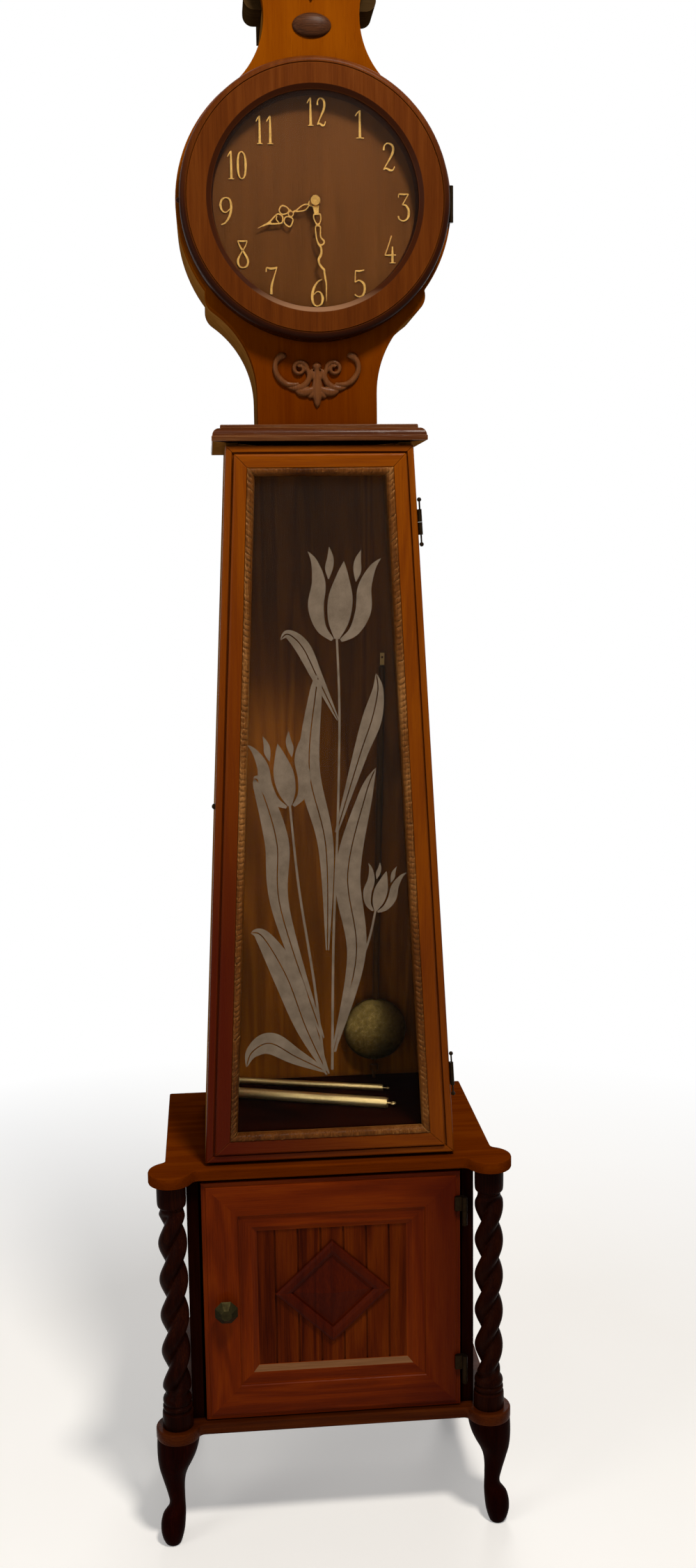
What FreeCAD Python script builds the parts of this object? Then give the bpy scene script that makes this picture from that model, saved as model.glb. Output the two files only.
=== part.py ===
import FreeCAD, Part
import math
import os
import re
from FreeCAD import Placement, Rotation, Vector

doc = FreeCAD.newDocument("longcase_clock")
sheet = doc.addObject("Spreadsheet::Sheet", "Sizes")

sizes = {
    # Position of the trunk door's face along the depth, and the stack of levels from the floor up.
    "face_y": -130.5,
    "leg_tall": 155.5,
    "shelf_thick": 16,
    "column_tall": 347.5,
    "table_thick": 16,
    "trunk_tall": 945,
    "cornice_thick": 21,
    "dial_rise": 270,

    # Base boards with their round front ears.
    "board_half": 222,
    "board_front": -6,
    "board_back": 292,
    "ear_x": 214,
    "ear_y": -1,
    "ear_r": 30,
    "ear_fillet": 9,

    # Cabriole legs, as round sections from knee to sole.
    "knee_r": 29.5,
    "calf_drop": 24,
    "calf_r": 21.5,
    "calf_out": 6,
    "shin_drop": 48,
    "shin_r": 13.5,
    "shin_out": 4,
    "ankle_z": 62,
    "ankle_r": 11,
    "instep_z": 44,
    "instep_r": 14,
    "instep_out": 5,
    "foot_z": 24,
    "foot_r": 17.5,
    "foot_out": 10,
    "sole_r": 11,
    "sole_out": 11,
    "rear_leg_x": 188,
    "rear_leg_y": 258,

    # Twisted columns.
    "twist_mean_r": 15.2,
    "twist_swing": 4,
    "twist_lead": 95,
    "collar_tall": 40,
    "collar_r": 21,
    "collar_neck_r": 16,
    "collar_ring_r": 20,

    # Cupboard.
    "cup_half": 194.5,
    "cup_wall": 16,
    "cup_front": 10,
    "cup_back": 280,
    "cup_back_thick": 12,
    "cup_rail_tall": 14,
    "cup_rail_deep": 20,
    "cup_door_half": 175,
    "cup_door_gap": 1.5,
    "cup_door_tall": 340,
    "cup_door_face": -1,
    "cup_door_thick": 20,
    "cup_member": 51,
    "cup_bevel": 14,
    "cup_bevel_deep": 6,
    "cup_edge": 3,
    "panel_sink": 9,
    "panel_thick": 8,
    "panel_grooves": 8,
    "groove_wide": 3,
    "groove_deep": 2,
    "diamond_half_x": 78,
    "diamond_half_z": 73,
    "diamond_rise": 11,
    "diamond_member": 15,
    "diamond_stand": 6,
    "pyramid_stand": 9,
    "cup_knob_x": 145,
    "cup_knob_drop": 6.5,
    "cup_knob_r": 16.5,
    "cup_knob_stem_r": 6,
    "cup_knob_out": 24,
    "cup_hinge_x": 180,
    "cup_hinge_y": -5,
    "cup_hinge_r": 3.6,
    "cup_hinge_tall": 40,
    "cup_hinge_inset": 55,

    # Trunk.
    "trunk_half_bottom": 168,
    "trunk_half_top": 117.7,
    "trunk_wall": 16,
    "trunk_front": 23,
    "trunk_back": 237,
    "trunk_back_thick": 12,
    "trunk_floor_rise": 24,
    "trunk_floor_thick": 16,

    # Trunk door.
    "door_foot_gap": 4,
    "door_head_gap": 5,
    "door_thick": 22,
    "door_step": 9,
    "door_step_deep": 4,
    "door_groove": 2.5,
    "door_groove_deep": 3,
    "stile_bottom": 43,
    "stile_top": 37,
    "rail_bottom": 41,
    "rail_top": 37,
    "bead_wide": 10,
    "bead_stand": 2,
    "bead_back": 8,
    "glass_thick": 3,
    "glass_lap": 7,
    "latch_rise": 485,
    "latch_r": 4,
    "latch_out": 0.5,
    "latch_y": 12,
    "hinge_out": 2.8,
    "hinge_y": 4,
    "hinge_r": 2.4,
    "hinge_half_tall": 16,
    "hinge_ball_r": 2.8,
    "hinge_ball_gap": 12,
    "hinge_upper_drop": 101,
    "hinge_lower_rise": 115,
    "hinge_leaf": 1.5,
    "hinge_leaf_deep": 20,
    "run_gap": 0.3,

    # Cornice board.
    "cornice_half": 135,
    "cornice_front": -3,
    "cornice_back": 247,
    "cornice_round": 9,
    "well_half": 60,
    "well_front": 95,
    "well_back": 210,

    # Head case.
    "head_face": 39,
    "head_board": 22,
    "head_back": 181,
    "head_wall": 10,
    "neck_half": 76,
    "neck_rise": 40,
    "flare_r": 124.6,
    "flare_rise": 102,
    "lobe_half": 138.6,
    "lobe_rise": 158,
    "disc_r": 172,
    "disc_foot_drop": 103,
    "shoulder_half": 112,
    "throat_half": 59,
    "throat_rise": 221,
    "crest_rise": 269,
    "crest_arch": 38,
    "cap_rise": 233,
    "cap_half": 82,
    "cap_flush": 62,
    "cap_ear_deep": 61,
    "cap_tall": 30,
    "cap_round": 13,
    "cap_over": 12,
    "boss_half_x": 24,
    "boss_half_z": 14.5,
    "boss_stand": 7,
    "boss_rise": 208.5,
    "leaf_half": 11,
    "leaf_tall": 44,
    "leaf_gap": 14,
    "leaf_thick": 6,
    "scroll_rise": 52,
    "scroll_thick": 6,
    "scroll_coil": 17,
    "scroll_band": 5.5,
    "scroll_x": 40,
    "scroll_leaf_half": 11,
    "scroll_leaf_tall": 66,

    # Dial, numerals and hands.
    "dial_r": 139,
    "dial_thick": 5,
    "rim_sight": 126,
    "rim_flat": 3,
    "rim_stand": 11.5,
    "numeral_ring": 105,
    "numeral_tall": 35,
    "numeral_wide": 15,
    "numeral_stroke": 3.4,
    "numeral_thick": 1.2,
    "numeral_pair_step": 13,
    "minute_long": 120,
    "minute_back": 20,
    "hour_long": 78,
    "hand_thick": 1.2,
    "hand_stem": 4,
    "hand_hub": 8,
    "minute_y": 23.5,
    "hour_y": 28,
    "minute_turn": 174.3,
    "hour_turn": 246,
    "nut_r": 7,
    "nut_tall": 3.8,

    # Bezel.
    "bezel_r": 167,
    "bezel_sight": 128,
    "bezel_bevel": 6,
    "bezel_edge": 1.2,
    "bezel_groove": 1.5,
    "bezel_inner": 141,
    "bezel_face": 11,
    "bezel_gap": 0.3,
    "bezel_lip": 5,
    "bezel_round": 7,
    "bezel_glass_thick": 2.5,
    "bezel_hinge_r": 3,
    "bezel_hinge_out": 4,
    "bezel_hinge_tall": 44,
    "bezel_catch_r": 3,
    "bezel_catch_out": 1,
    "bezel_catch_y": 26,

    # Movement.
    "seat_drop": 116,
    "seat_thick": 13,
    "seat_half": 70,
    "chain_hole": 9,
    "leader_slot_half": 24,
    "plate_half": 50,
    "plate_over": 16,
    "cock_thick": 4,
    "cock_half": 5,
    "cock_over": 7,
    "plate_thick": 2.5,
    "plate_front": 80,
    "plate_rear": 130,
    "pillar_r": 4,
    "pillar_inset": 9,
    "arbor_r": 1.5,
    "arbor_gap": 0.05,
    "pipe_r": 3,
    "hour_pipe_r": 4.5,
    "board_hole_r": 7,
    "wheel_thick": 2,
    "pinion_teeth": 12,
    "great_teeth": 96,
    "centre_teeth": 96,
    "third_teeth": 90,
    "escape_teeth": 34,
    "great_module": 0.9,
    "centre_module": 0.6,
    "third_module": 0.55,
    "cannon_teeth": 14,
    "minute_teeth": 42,
    "hour_teeth": 48,
    "cannon_module": 1,
    "third_bearing": 47.2,
    "escape_r": 22,
    "escape_thick": 3,
    "anchor_stand": 10,
    "anchor_arm": 4,
    "pallet_gap": 2,
    "pallet_bearing": 47,
    "sprocket_r": 14,
    "crutch_long": 60,
    "leader_long": 230,
    "leader_r": 1.8,
    "leader_y": 144,

    # Pendulum and weights, taken off and stood or laid in the trunk.
    "bob_r": 46,
    "bob_half_thick": 9,
    "bob_up": 74,
    "rod_r": 4.5,
    "pendulum_long": 626,
    "hook_long": 20,
    "rating_r": 6,
    "rating_tall": 8,
    "rating_up": 12,
    "pendulum_x": 81,
    "pendulum_y": 210,
    "lean_side": 1.8,
    "weight_big_r": 7.5,
    "weight_small_r": 4.5,
    "weight_long": 235,
    "weight_turn": 18,
    "weight_small_turn": 15.5,
    "weight_x": -28,
    "weight_big_y": 122,
    "weight_small_y": 186,
}

for row, (alias, value) in enumerate(sizes.items(), start=1):
    cell = "A%d" % row
    sheet.set(cell, str(value))
    sheet.setAlias(cell, alias)
doc.recompute()
v = {}
for alias in sizes:
    v[alias] = float(sheet.get(alias))


def bind(text):
    def swap(found):
        word = found.group(0)
        if word in v:
            return "Sizes." + word
        return word
    return re.sub(r"[a-z][a-z0-9_]*", swap, text)


def tie(thing, prop, text):
    thing.setExpression(prop, bind(text))


nodes = []


def keep(thing):
    nodes.append(thing)
    return thing


def made(name, shape):
    place = shape.Placement
    thing = doc.addObject("Part::Feature", name)
    thing.Shape = shape
    thing.Placement = place
    return keep(thing)


def block(name, x0, x1, y0, y1, z0, z1):
    thing = doc.addObject("Part::Box", name)
    tie(thing, "Length", "(%s) - (%s)" % (x1, x0))
    tie(thing, "Width", "(%s) - (%s)" % (y1, y0))
    tie(thing, "Height", "(%s) - (%s)" % (z1, z0))
    tie(thing, "Placement.Base.x", x0)
    tie(thing, "Placement.Base.y", "face_y + (%s)" % y0)
    tie(thing, "Placement.Base.z", z0)
    return thing


def turned(name, radius, y0, y1, x, z):
    thing = doc.addObject("Part::Cylinder", name)
    thing.Placement = Placement(Vector(), Rotation(Vector(1, 0, 0), -90))
    tie(thing, "Radius", radius)
    tie(thing, "Height", "(%s) - (%s)" % (y1, y0))
    tie(thing, "Placement.Base.x", x)
    tie(thing, "Placement.Base.y", "face_y + (%s)" % y0)
    tie(thing, "Placement.Base.z", z)
    return thing


def taper(name, bottom, top, y0, y1, z0, z1):
    thing = doc.addObject("Part::Wedge", name)
    thing.Placement = Placement(Vector(), Rotation(Vector(1, 0, 0), 90))
    tie(thing, "Xmin", bottom[0])
    tie(thing, "Xmax", bottom[1])
    tie(thing, "X2min", top[0])
    tie(thing, "X2max", top[1])
    tie(thing, "Ymin", z0)
    tie(thing, "Ymax", z1)
    for prop, depth in (("Zmin", y1), ("Z2min", y1), ("Zmax", y0), ("Z2max", y0)):
        tie(thing, prop, "-face_y - (%s)" % depth)
    return thing


def group(name, things):
    thing = doc.addObject("Part::Compound", name)
    thing.Links = things
    return keep(thing)


def cut(name, base, tool):
    thing = doc.addObject("Part::Cut", name)
    thing.Base = base
    thing.Tool = tool
    return keep(thing)


z_shelf = "leg_tall + shelf_thick"
z_under = z_shelf + " + column_tall"
z_table = z_under + " + table_thick"
z_cornice = z_table + " + trunk_tall"
z_head = z_cornice + " + cornice_thick"
z_dial = z_head + " + dial_rise"

shelf_z = v["leg_tall"] + v["shelf_thick"]
under_z = shelf_z + v["column_tall"]
table_z = under_z + v["table_thick"]
cornice_z = table_z + v["trunk_tall"]
head_z = cornice_z + v["cornice_thick"]
dial_z = head_z + v["dial_rise"]
face = v["face_y"]


def barrel(radius, low, high, x, y):
    return Part.makeCylinder(radius, high - low, Vector(x, y, low))


def drum(radius, y0, y1, x, z):
    return Part.makeCylinder(radius, y1 - y0, Vector(x, face + y0, z), Vector(0, 1, 0))


def slab(x0, x1, y0, y1, z0, z1):
    return Part.makeBox(x1 - x0, y1 - y0, z1 - z0, Vector(x0, face + y0, z0))


# Base boards: a plank with two round ears, hollow fillets where the ears leave it.
def eared_board(low, high):
    half = v["board_half"]
    front = v["board_front"]
    plank = slab(-half, half, front, v["board_back"], low, high)
    for side in (-1, 1):
        ear = barrel(v["ear_r"], low, high, side * v["ear_x"], face + v["ear_y"])
        plank = plank.fuse(ear)
    plank = plank.removeSplitter()
    near_x = v["ear_x"] - math.sqrt(v["ear_r"] ** 2 - (front - v["ear_y"]) ** 2)
    near_y = v["ear_y"] + math.sqrt(v["ear_r"] ** 2 - (half - v["ear_x"]) ** 2)
    corners = ((near_x, face + front), (half, face + near_y))
    hollow = []
    for edge in plank.Edges:
        ends = [vertex.Point for vertex in edge.Vertexes]
        if len(ends) < 2 or abs(ends[0].z - ends[1].z) < 0.5 * (high - low):
            continue
        for x, y in corners:
            if abs(abs(ends[0].x) - x) < 0.05 and abs(ends[0].y - y) < 0.05:
                hollow.append(edge)
    return plank.makeFillet(v["ear_fillet"], hollow)


made("base_bottom_board", eared_board(v["leg_tall"], shelf_z))
made("base_top_board", eared_board(under_z, table_z))


# Legs: round sections carried outwards along a diagonal.
def leg(x, y, out_x, out_y):
    rings = (
        (v["leg_tall"], v["knee_r"], 0),
        (v["leg_tall"] - v["calf_drop"], v["calf_r"], v["calf_out"]),
        (v["leg_tall"] - v["shin_drop"], v["shin_r"], v["shin_out"]),
        (v["ankle_z"], v["ankle_r"], 0),
        (v["instep_z"], v["instep_r"], v["instep_out"]),
        (v["foot_z"], v["foot_r"], v["foot_out"]),
        (0, v["sole_r"], v["sole_out"]),
    )
    wires = []
    for level, radius, out in rings:
        middle = Vector(x + out_x * out, face + y + out_y * out, level)
        wires.append(Part.Wire([Part.makeCircle(radius, middle)]))
    return Part.makeLoft(wires, True, False)


made("leg_front_left", leg(-v["ear_x"], v["ear_y"], -1, -0.5))
made("leg_front_right", leg(v["ear_x"], v["ear_y"], 1, -0.5))
rear_left = leg(-v["rear_leg_x"], v["rear_leg_y"], -1, 0.5)
rear_right = leg(v["rear_leg_x"], v["rear_leg_y"], 1, 0.5)
made("legs_rear", Part.makeCompound([rear_left, rear_right]))


# Columns: a two-start twist between turned collars.
def collar(x, y, low, way):
    tall = v["collar_tall"]
    heights = (0.34, 0.18, 0.24, 0.24)
    radii = (v["collar_r"], v["collar_neck_r"], v["collar_ring_r"], v["collar_neck_r"])
    shape = None
    level = low
    for share, radius in zip(heights, radii):
        end = level + way * share * tall
        ring = barrel(radius, min(level, end), max(level, end), x, y)
        if radius > v["collar_neck_r"]:
            ring = ring.makeFillet(0.1 * tall, ring.Edges[0:3:2])
        shape = ring if shape is None else shape.fuse(ring)
        level = end
    return shape


def column(x, y):
    low = shelf_z + v["collar_tall"]
    high = under_z - v["collar_tall"]
    steps = max(24, int(24 * (high - low) / v["twist_lead"]))
    rings = []
    for step in range(steps + 1):
        share = step / steps
        level = low + share * (high - low)
        turn = 2 * math.pi * (level - low) / v["twist_lead"]
        points = []
        for corner in range(16):
            angle = math.pi * corner / 8
            radius = v["twist_mean_r"] + v["twist_swing"] * math.cos(2 * (angle - turn))
            points.append(Vector(x + radius * math.cos(angle), y + radius * math.sin(angle), level))
        curve = Part.BSplineCurve()
        curve.interpolate(points, True)
        rings.append(Part.Wire([curve.toShape()]))
    core = Part.makeLoft(rings, True, True)
    return core.fuse([collar(x, y, shelf_z, 1), collar(x, y, under_z, -1)])


made("column_left", column(-v["ear_x"], face + v["ear_y"]))
made("column_right", column(v["ear_x"], face + v["ear_y"]))

# Cupboard carcase between the two boards.
cup_left = block("cup_left", "-cup_half", "cup_wall - cup_half", "cup_front", "cup_back", z_shelf, z_under)
cup_right = block("cup_right", "cup_half - cup_wall", "cup_half", "cup_front", "cup_back", z_shelf, z_under)
group("base_sides", [cup_left, cup_right])
cup_inner = "cup_half - cup_wall"
keep(block("base_back", "-(%s)" % cup_inner, cup_inner, "cup_back - cup_back_thick", "cup_back", z_shelf, z_under))
stop_y = "cup_door_face + cup_door_thick + 1"
keep(block("base_top_rail", "-(%s)" % cup_inner, cup_inner, stop_y, stop_y + " + cup_rail_deep",
           z_under + " - cup_rail_tall", z_under))


# A closed solid from faces that meet edge to edge.
def closed_solid(faces):
    shell = Part.makeShell(faces)
    shell.sewShape()
    solid = Part.makeSolid(shell)
    if solid.Volume < 0:
        solid.reverse()
    return solid


# One strip between two matching straight edges, flat where the four corners allow it.
def strip(a, b, c, d):
    normal = (b - a).cross(c - a)
    if abs(normal.dot(d - a)) < 1e-6 * normal.Length:
        return Part.Face(Part.makePolygon([a, b, d, c, a]))
    return Part.makeRuledSurface(Part.makeLine(a, b), Part.makeLine(c, d))


# Mitred members: one profile carried from corner to corner of a frame.
def member(outer, inner, profile):
    ends = []
    for far, near in zip(outer, inner):
        points = []
        for across, depth in profile:
            x = far[0] + (near[0] - far[0]) * across
            z = far[1] + (near[1] - far[1]) * across
            points.append(Vector(x, face + depth, z))
        ends.append(points)
    first, last = ends
    faces = [Part.Face(Part.makePolygon(points + points[:1])) for points in ends]
    for index in range(len(profile)):
        after = (index + 1) % len(profile)
        faces.append(strip(first[index], first[after], last[index], last[after]))
    return closed_solid(faces)


def frame_members(outer, inner, profile):
    members = []
    for corner in range(4):
        after = (corner + 1) % 4
        pair = (outer[corner], outer[after])
        near = (inner[corner], inner[after])
        members.append(member(pair, near, profile))
    return members


def oblong(half_low, half_high, low, high):
    return [(-half_low, low), (half_low, low), (half_high, high), (-half_high, high)]


# Cupboard door.
cup_low = shelf_z + v["cup_door_gap"]
cup_high = cup_low + v["cup_door_tall"]
cup_half = v["cup_door_half"]
wide = v["cup_member"]
sight_low = cup_low + wide
sight_high = cup_high - wide
sight_half = cup_half - wide
cup_face = v["cup_door_face"]
cup_rear = cup_face + v["cup_door_thick"]
bevel_at = 1 - v["cup_bevel"] / wide
edge_at = v["cup_edge"] / wide
cup_profile = (
    (0, cup_face + v["cup_edge"]),
    (edge_at, cup_face),
    (bevel_at, cup_face),
    (1, cup_face + v["cup_bevel_deep"]),
    (1, cup_rear),
    (0, cup_rear),
)
cup_outer = oblong(cup_half, cup_half, cup_low, cup_high)
cup_inner_line = oblong(sight_half, sight_half, sight_low, sight_high)
cup_members = frame_members(cup_outer, cup_inner_line, cup_profile)
made("base_door_rails", Part.makeCompound([cup_members[0], cup_members[2]]))
made("base_door_stiles", Part.makeCompound([cup_members[1], cup_members[3]]))

panel_front = cup_face + v["panel_sink"]
panel = slab(-sight_half, sight_half, panel_front, panel_front + v["panel_thick"], sight_low, sight_high)
groove_count = int(v["panel_grooves"])
for index in range(groove_count):
    middle = -sight_half + 2 * sight_half * (index + 0.5) / groove_count
    left = middle - v["groove_wide"] / 2
    right = middle + v["groove_wide"] / 2
    groove = slab(left, right, panel_front - 1, panel_front + v["groove_deep"], sight_low, sight_high)
    panel = panel.cut(groove)
made("base_door_panel", panel)

diamond_z = (sight_low + sight_high) / 2 + v["diamond_rise"] / 2
far_x = v["diamond_half_x"]
far_z = v["diamond_half_z"]
share = 1 - v["diamond_member"] * math.hypot(1 / far_x, 1 / far_z)
rhomb = [(0, -1), (1, 0), (0, 1), (-1, 0)]
diamond_outer = [(far_x * x, diamond_z + far_z * z) for x, z in rhomb]
diamond_inner = [(far_x * share * x, diamond_z + far_z * share * z) for x, z in rhomb]
stand = panel_front - v["diamond_stand"]
diamond_profile = (
    (0, panel_front),
    (0, stand + 2),
    (0.25, stand),
    (0.65, stand),
    (1, stand + 3),
    (1, panel_front),
)
diamond_parts = frame_members(diamond_outer, diamond_inner, diamond_profile)
foot_points = [Vector(x, face + panel_front, z) for x, z in diamond_inner]
peak = Vector(0, face + panel_front - v["pyramid_stand"], diamond_z)
sides = [Part.Face(Part.makePolygon(foot_points + foot_points[:1]))]
for corner in range(4):
    after = (corner + 1) % 4
    triangle = [foot_points[corner], foot_points[after], peak, foot_points[corner]]
    sides.append(Part.Face(Part.makePolygon(triangle)))
pyramid = closed_solid(sides)
made("base_door_diamond", Part.makeCompound(diamond_parts + [pyramid]))

knob_z = (cup_low + cup_high) / 2 - v["cup_knob_drop"]
knob_x = -v["cup_knob_x"]
knob_stem = drum(v["cup_knob_stem_r"], cup_face - v["cup_knob_out"] / 2, cup_face, knob_x, knob_z)


# Eight flat sides, narrowing to the front and the back.
def facet_ring(radius, depth):
    points = []
    for corner in range(9):
        angle = math.pi * (corner + 0.5) / 4
        points.append(Vector(knob_x + radius * math.cos(angle), face + depth, knob_z + radius * math.sin(angle)))
    return Part.makePolygon(points)


knob_out = v["cup_knob_out"]
knob_r = v["cup_knob_r"]
knob_back = Part.makeLoft([facet_ring(knob_r * 0.6, cup_face - knob_out * 0.35),
                           facet_ring(knob_r, cup_face - knob_out * 0.6)], True, True)
knob_front = Part.makeLoft([facet_ring(knob_r, cup_face - knob_out * 0.6),
                            facet_ring(knob_r * 0.45, cup_face - knob_out)], True, True)
made("base_door_knob", knob_stem.fuse([knob_back, knob_front]).removeSplitter())

# Cupboard hinges: a fixed lower half and a moving upper half on each.
hinge_levels = (cup_low + v["cup_hinge_inset"], cup_high - v["cup_hinge_inset"])
case_hinge_parts = []
cup_hinge_moving = []
for level in hinge_levels:
    radius = v["cup_hinge_r"]
    half_tall = v["cup_hinge_tall"] / 2
    x = v["cup_hinge_x"]
    y = face + v["cup_hinge_y"]
    gap = v["run_gap"] / 2
    low_half = barrel(radius, level - half_tall, level - gap, x, y)
    low_leaf = slab(v["cup_half"] - v["cup_wall"] + 0.6, v["cup_hinge_x"] + 2.5, v["cup_hinge_y"], v["cup_front"],
                    level - half_tall, level - gap)
    case_hinge_parts.append(low_half.fuse(low_leaf).removeSplitter())
    high_half = barrel(radius, level + gap, level + half_tall, x, y)
    high_leaf = slab(cup_half - 8, v["cup_hinge_x"], v["cup_hinge_y"] + 0.5, cup_face + v["cup_edge"],
                     level + gap, level + half_tall)
    cup_hinge_moving.append(high_half.fuse(high_leaf).removeSplitter())
made("base_door_hinges", Part.makeCompound(cup_hinge_moving))

# Trunk carcase: two leaning sides, a back and a floor.
left_foot = ("-trunk_half_bottom", "trunk_wall - trunk_half_bottom")
left_head = ("-trunk_half_top", "trunk_wall - trunk_half_top")
right_foot = ("trunk_half_bottom - trunk_wall", "trunk_half_bottom")
right_head = ("trunk_half_top - trunk_wall", "trunk_half_top")
trunk_left = taper("trunk_left", left_foot, left_head, "trunk_front", "trunk_back", z_table, z_cornice)
trunk_right = taper("trunk_right", right_foot, right_head, "trunk_front", "trunk_back", z_table, z_cornice)
group("trunk_sides", [trunk_left, trunk_right])
back_foot = ("trunk_wall - trunk_half_bottom", "trunk_half_bottom - trunk_wall")
back_head = ("trunk_wall - trunk_half_top", "trunk_half_top - trunk_wall")
keep(taper("trunk_back_board", back_foot, back_head, "trunk_back - trunk_back_thick", "trunk_back",
           z_table, z_cornice))
slope = "(trunk_half_bottom - trunk_half_top) / trunk_tall"
floor_low = "(trunk_half_bottom - trunk_wall - %s * trunk_floor_rise)" % slope
floor_high = "(trunk_half_bottom - trunk_wall - %s * (trunk_floor_rise + trunk_floor_thick))" % slope
keep(taper("trunk_floor", ("-" + floor_low, floor_low), ("-" + floor_high, floor_high), "trunk_front",
           "trunk_back - trunk_back_thick", z_table + " + trunk_floor_rise",
           z_table + " + trunk_floor_rise + trunk_floor_thick"))
floor_z = table_z + v["trunk_floor_rise"] + v["trunk_floor_thick"]


def trunk_half(level):
    share = (level - table_z) / v["trunk_tall"]
    return v["trunk_half_bottom"] + (v["trunk_half_top"] - v["trunk_half_bottom"]) * share


# Trunk door: mitred frame, bead and glass.
door_low = table_z + v["door_foot_gap"]
door_high = cornice_z - v["door_head_gap"]
glass_low = door_low + v["rail_bottom"]
glass_high = door_high - v["rail_top"]
low_half = trunk_half(door_low)
high_half = trunk_half(door_high)
sight_low_half = trunk_half(glass_low) - v["stile_bottom"]
sight_high_half = trunk_half(glass_high) - v["stile_top"]
mean_wide = (v["stile_bottom"] + v["stile_top"] + v["rail_bottom"] + v["rail_top"]) / 4
door_outer = oblong(low_half, high_half, door_low, door_high)
door_sight = oblong(sight_low_half, sight_high_half, glass_low, glass_high)
bead_share = 1 - v["bead_wide"] / mean_wide
door_bead = []
for far, near in zip(door_outer, door_sight):
    x = far[0] + (near[0] - far[0]) * bead_share
    z = far[1] + (near[1] - far[1]) * bead_share
    door_bead.append((x, z))
flat_wide = mean_wide - v["bead_wide"]
step_at = v["door_step"] / flat_wide
groove_at = (v["door_step"] + v["door_groove"]) / flat_wide
door_profile = (
    (0, v["door_step_deep"] + 2),
    (0.06, v["door_step_deep"]),
    (step_at, v["door_step_deep"]),
    (step_at, v["door_step_deep"] + v["door_groove_deep"]),
    (groove_at, v["door_step_deep"] + v["door_groove_deep"]),
    (groove_at, 1.5),
    (groove_at + 0.06, 0),
    (1, 0),
    (1, v["door_thick"]),
    (0, v["door_thick"]),
)
door_members = frame_members(door_outer, door_bead, door_profile)
made("trunk_door_rails", Part.makeCompound([door_members[0], door_members[2]]))
made("trunk_door_stiles", Part.makeCompound([door_members[1], door_members[3]]))
bead_profile = (
    (0, 0),
    (0.2, -v["bead_stand"]),
    (0.6, -v["bead_stand"]),
    (0.9, 1),
    (1, 3),
    (1, v["bead_back"]),
    (0, v["bead_back"]),
)
made("trunk_door_bead", Part.makeCompound(frame_members(door_bead, door_sight, bead_profile)))
lap_share = v["glass_lap"] / v["bead_wide"]
pane = []
for near, far in zip(door_sight, door_bead):
    x = near[0] + (far[0] - near[0]) * lap_share
    z = near[1] + (far[1] - near[1]) * lap_share
    pane.append(Vector(x, face + v["bead_back"], z))
pane_face = Part.Face(Part.makePolygon(pane + pane[:1]))
made("trunk_door_glass", pane_face.extrude(Vector(0, v["glass_thick"], 0)))
latch_z = table_z + v["latch_rise"]
latch_half = trunk_half(latch_z)
latch_tip = Vector(-latch_half - v["latch_out"], face + v["latch_y"], latch_z)
latch_stem = Part.makeCylinder(v["latch_r"] * 0.55, v["latch_out"] + 1, latch_tip, Vector(1, 0, 0))
latch_ball = Part.makeSphere(v["latch_r"], latch_tip, Vector(1, 0, 0))
latch_room = 2 * v["latch_r"]
latch_ball = latch_ball.cut(slab(-latch_half, 0, v["latch_y"] - latch_room, v["latch_y"] + latch_room,
                                 latch_z - latch_room, latch_z + latch_room))
made("trunk_door_latch", latch_stem.fuse(latch_ball).removeSplitter())

# Trunk hinges lie along the leaning edge of the door.
lean = math.degrees(math.atan2(v["trunk_half_bottom"] - v["trunk_half_top"], v["trunk_tall"]))
trunk_hinge_moving = []
trunk_top = table_z + v["trunk_tall"]
for level in (table_z + v["hinge_lower_rise"], trunk_top - v["hinge_upper_drop"]):
    radius = v["hinge_r"]
    tall = v["hinge_half_tall"]
    gap = v["run_gap"] / 2
    edge = -v["hinge_out"] * math.cos(math.radians(lean))
    low_part = Part.makeCylinder(radius, tall - gap, Vector(0, 0, -tall))
    low_ball = Part.makeSphere(v["hinge_ball_r"], Vector(0, 0, -tall - v["hinge_ball_gap"]))
    low_neck = Part.makeCylinder(radius * 0.45, v["hinge_ball_gap"], Vector(0, 0, -tall - v["hinge_ball_gap"]))
    reach = v["trunk_front"] + v["hinge_leaf_deep"] - v["hinge_y"]
    leaf = Part.makeBox(v["hinge_leaf"], reach, tall - gap, Vector(edge, 0, -tall))
    web = Part.makeBox(-edge, radius * 0.6, tall - gap, Vector(edge, 0, -tall))
    clear = Part.makeBox(v["run_gap"], v["trunk_front"] - v["hinge_y"], 2 * tall, Vector(edge, -1, -tall))
    fixed = low_part.fuse([low_ball, low_neck, leaf, web]).cut(clear).removeSplitter()
    high_part = Part.makeCylinder(radius, tall - gap, Vector(0, 0, gap))
    high_ball = Part.makeSphere(v["hinge_ball_r"], Vector(0, 0, tall + v["hinge_ball_gap"]))
    high_neck = Part.makeCylinder(radius * 0.45, v["hinge_ball_gap"], Vector(0, 0, tall))
    tab = Part.makeBox(-edge, radius, tall - gap, Vector(edge, radius * 0.3, gap))
    moving = high_part.fuse([high_ball, high_neck, tab]).removeSplitter()
    spot = Vector(trunk_half(level) + v["hinge_out"], face + v["hinge_y"], level)
    place = Placement(spot, Rotation(Vector(0, 1, 0), -lean))
    fixed.Placement = place
    moving.Placement = place
    case_hinge_parts.append(fixed)
    trunk_hinge_moving.append(moving)
made("trunk_door_hinges", Part.makeCompound(trunk_hinge_moving))

# Cornice board with a well for the pendulum and the chains.
cornice = slab(-v["cornice_half"], v["cornice_half"], v["cornice_front"], v["cornice_back"], cornice_z, head_z)
top_edges = []
for edge in cornice.Edges:
    middle = edge.CenterOfMass
    if abs(middle.z - head_z) < 0.01 and middle.y < face + v["cornice_back"] - 0.01:
        top_edges.append(edge)
cornice = cornice.makeFillet(v["cornice_round"], top_edges)
well = slab(-v["well_half"], v["well_half"], v["well_front"], v["well_back"], cornice_z - 1, head_z + 1)
made("cornice", cornice.cut(well))


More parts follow.
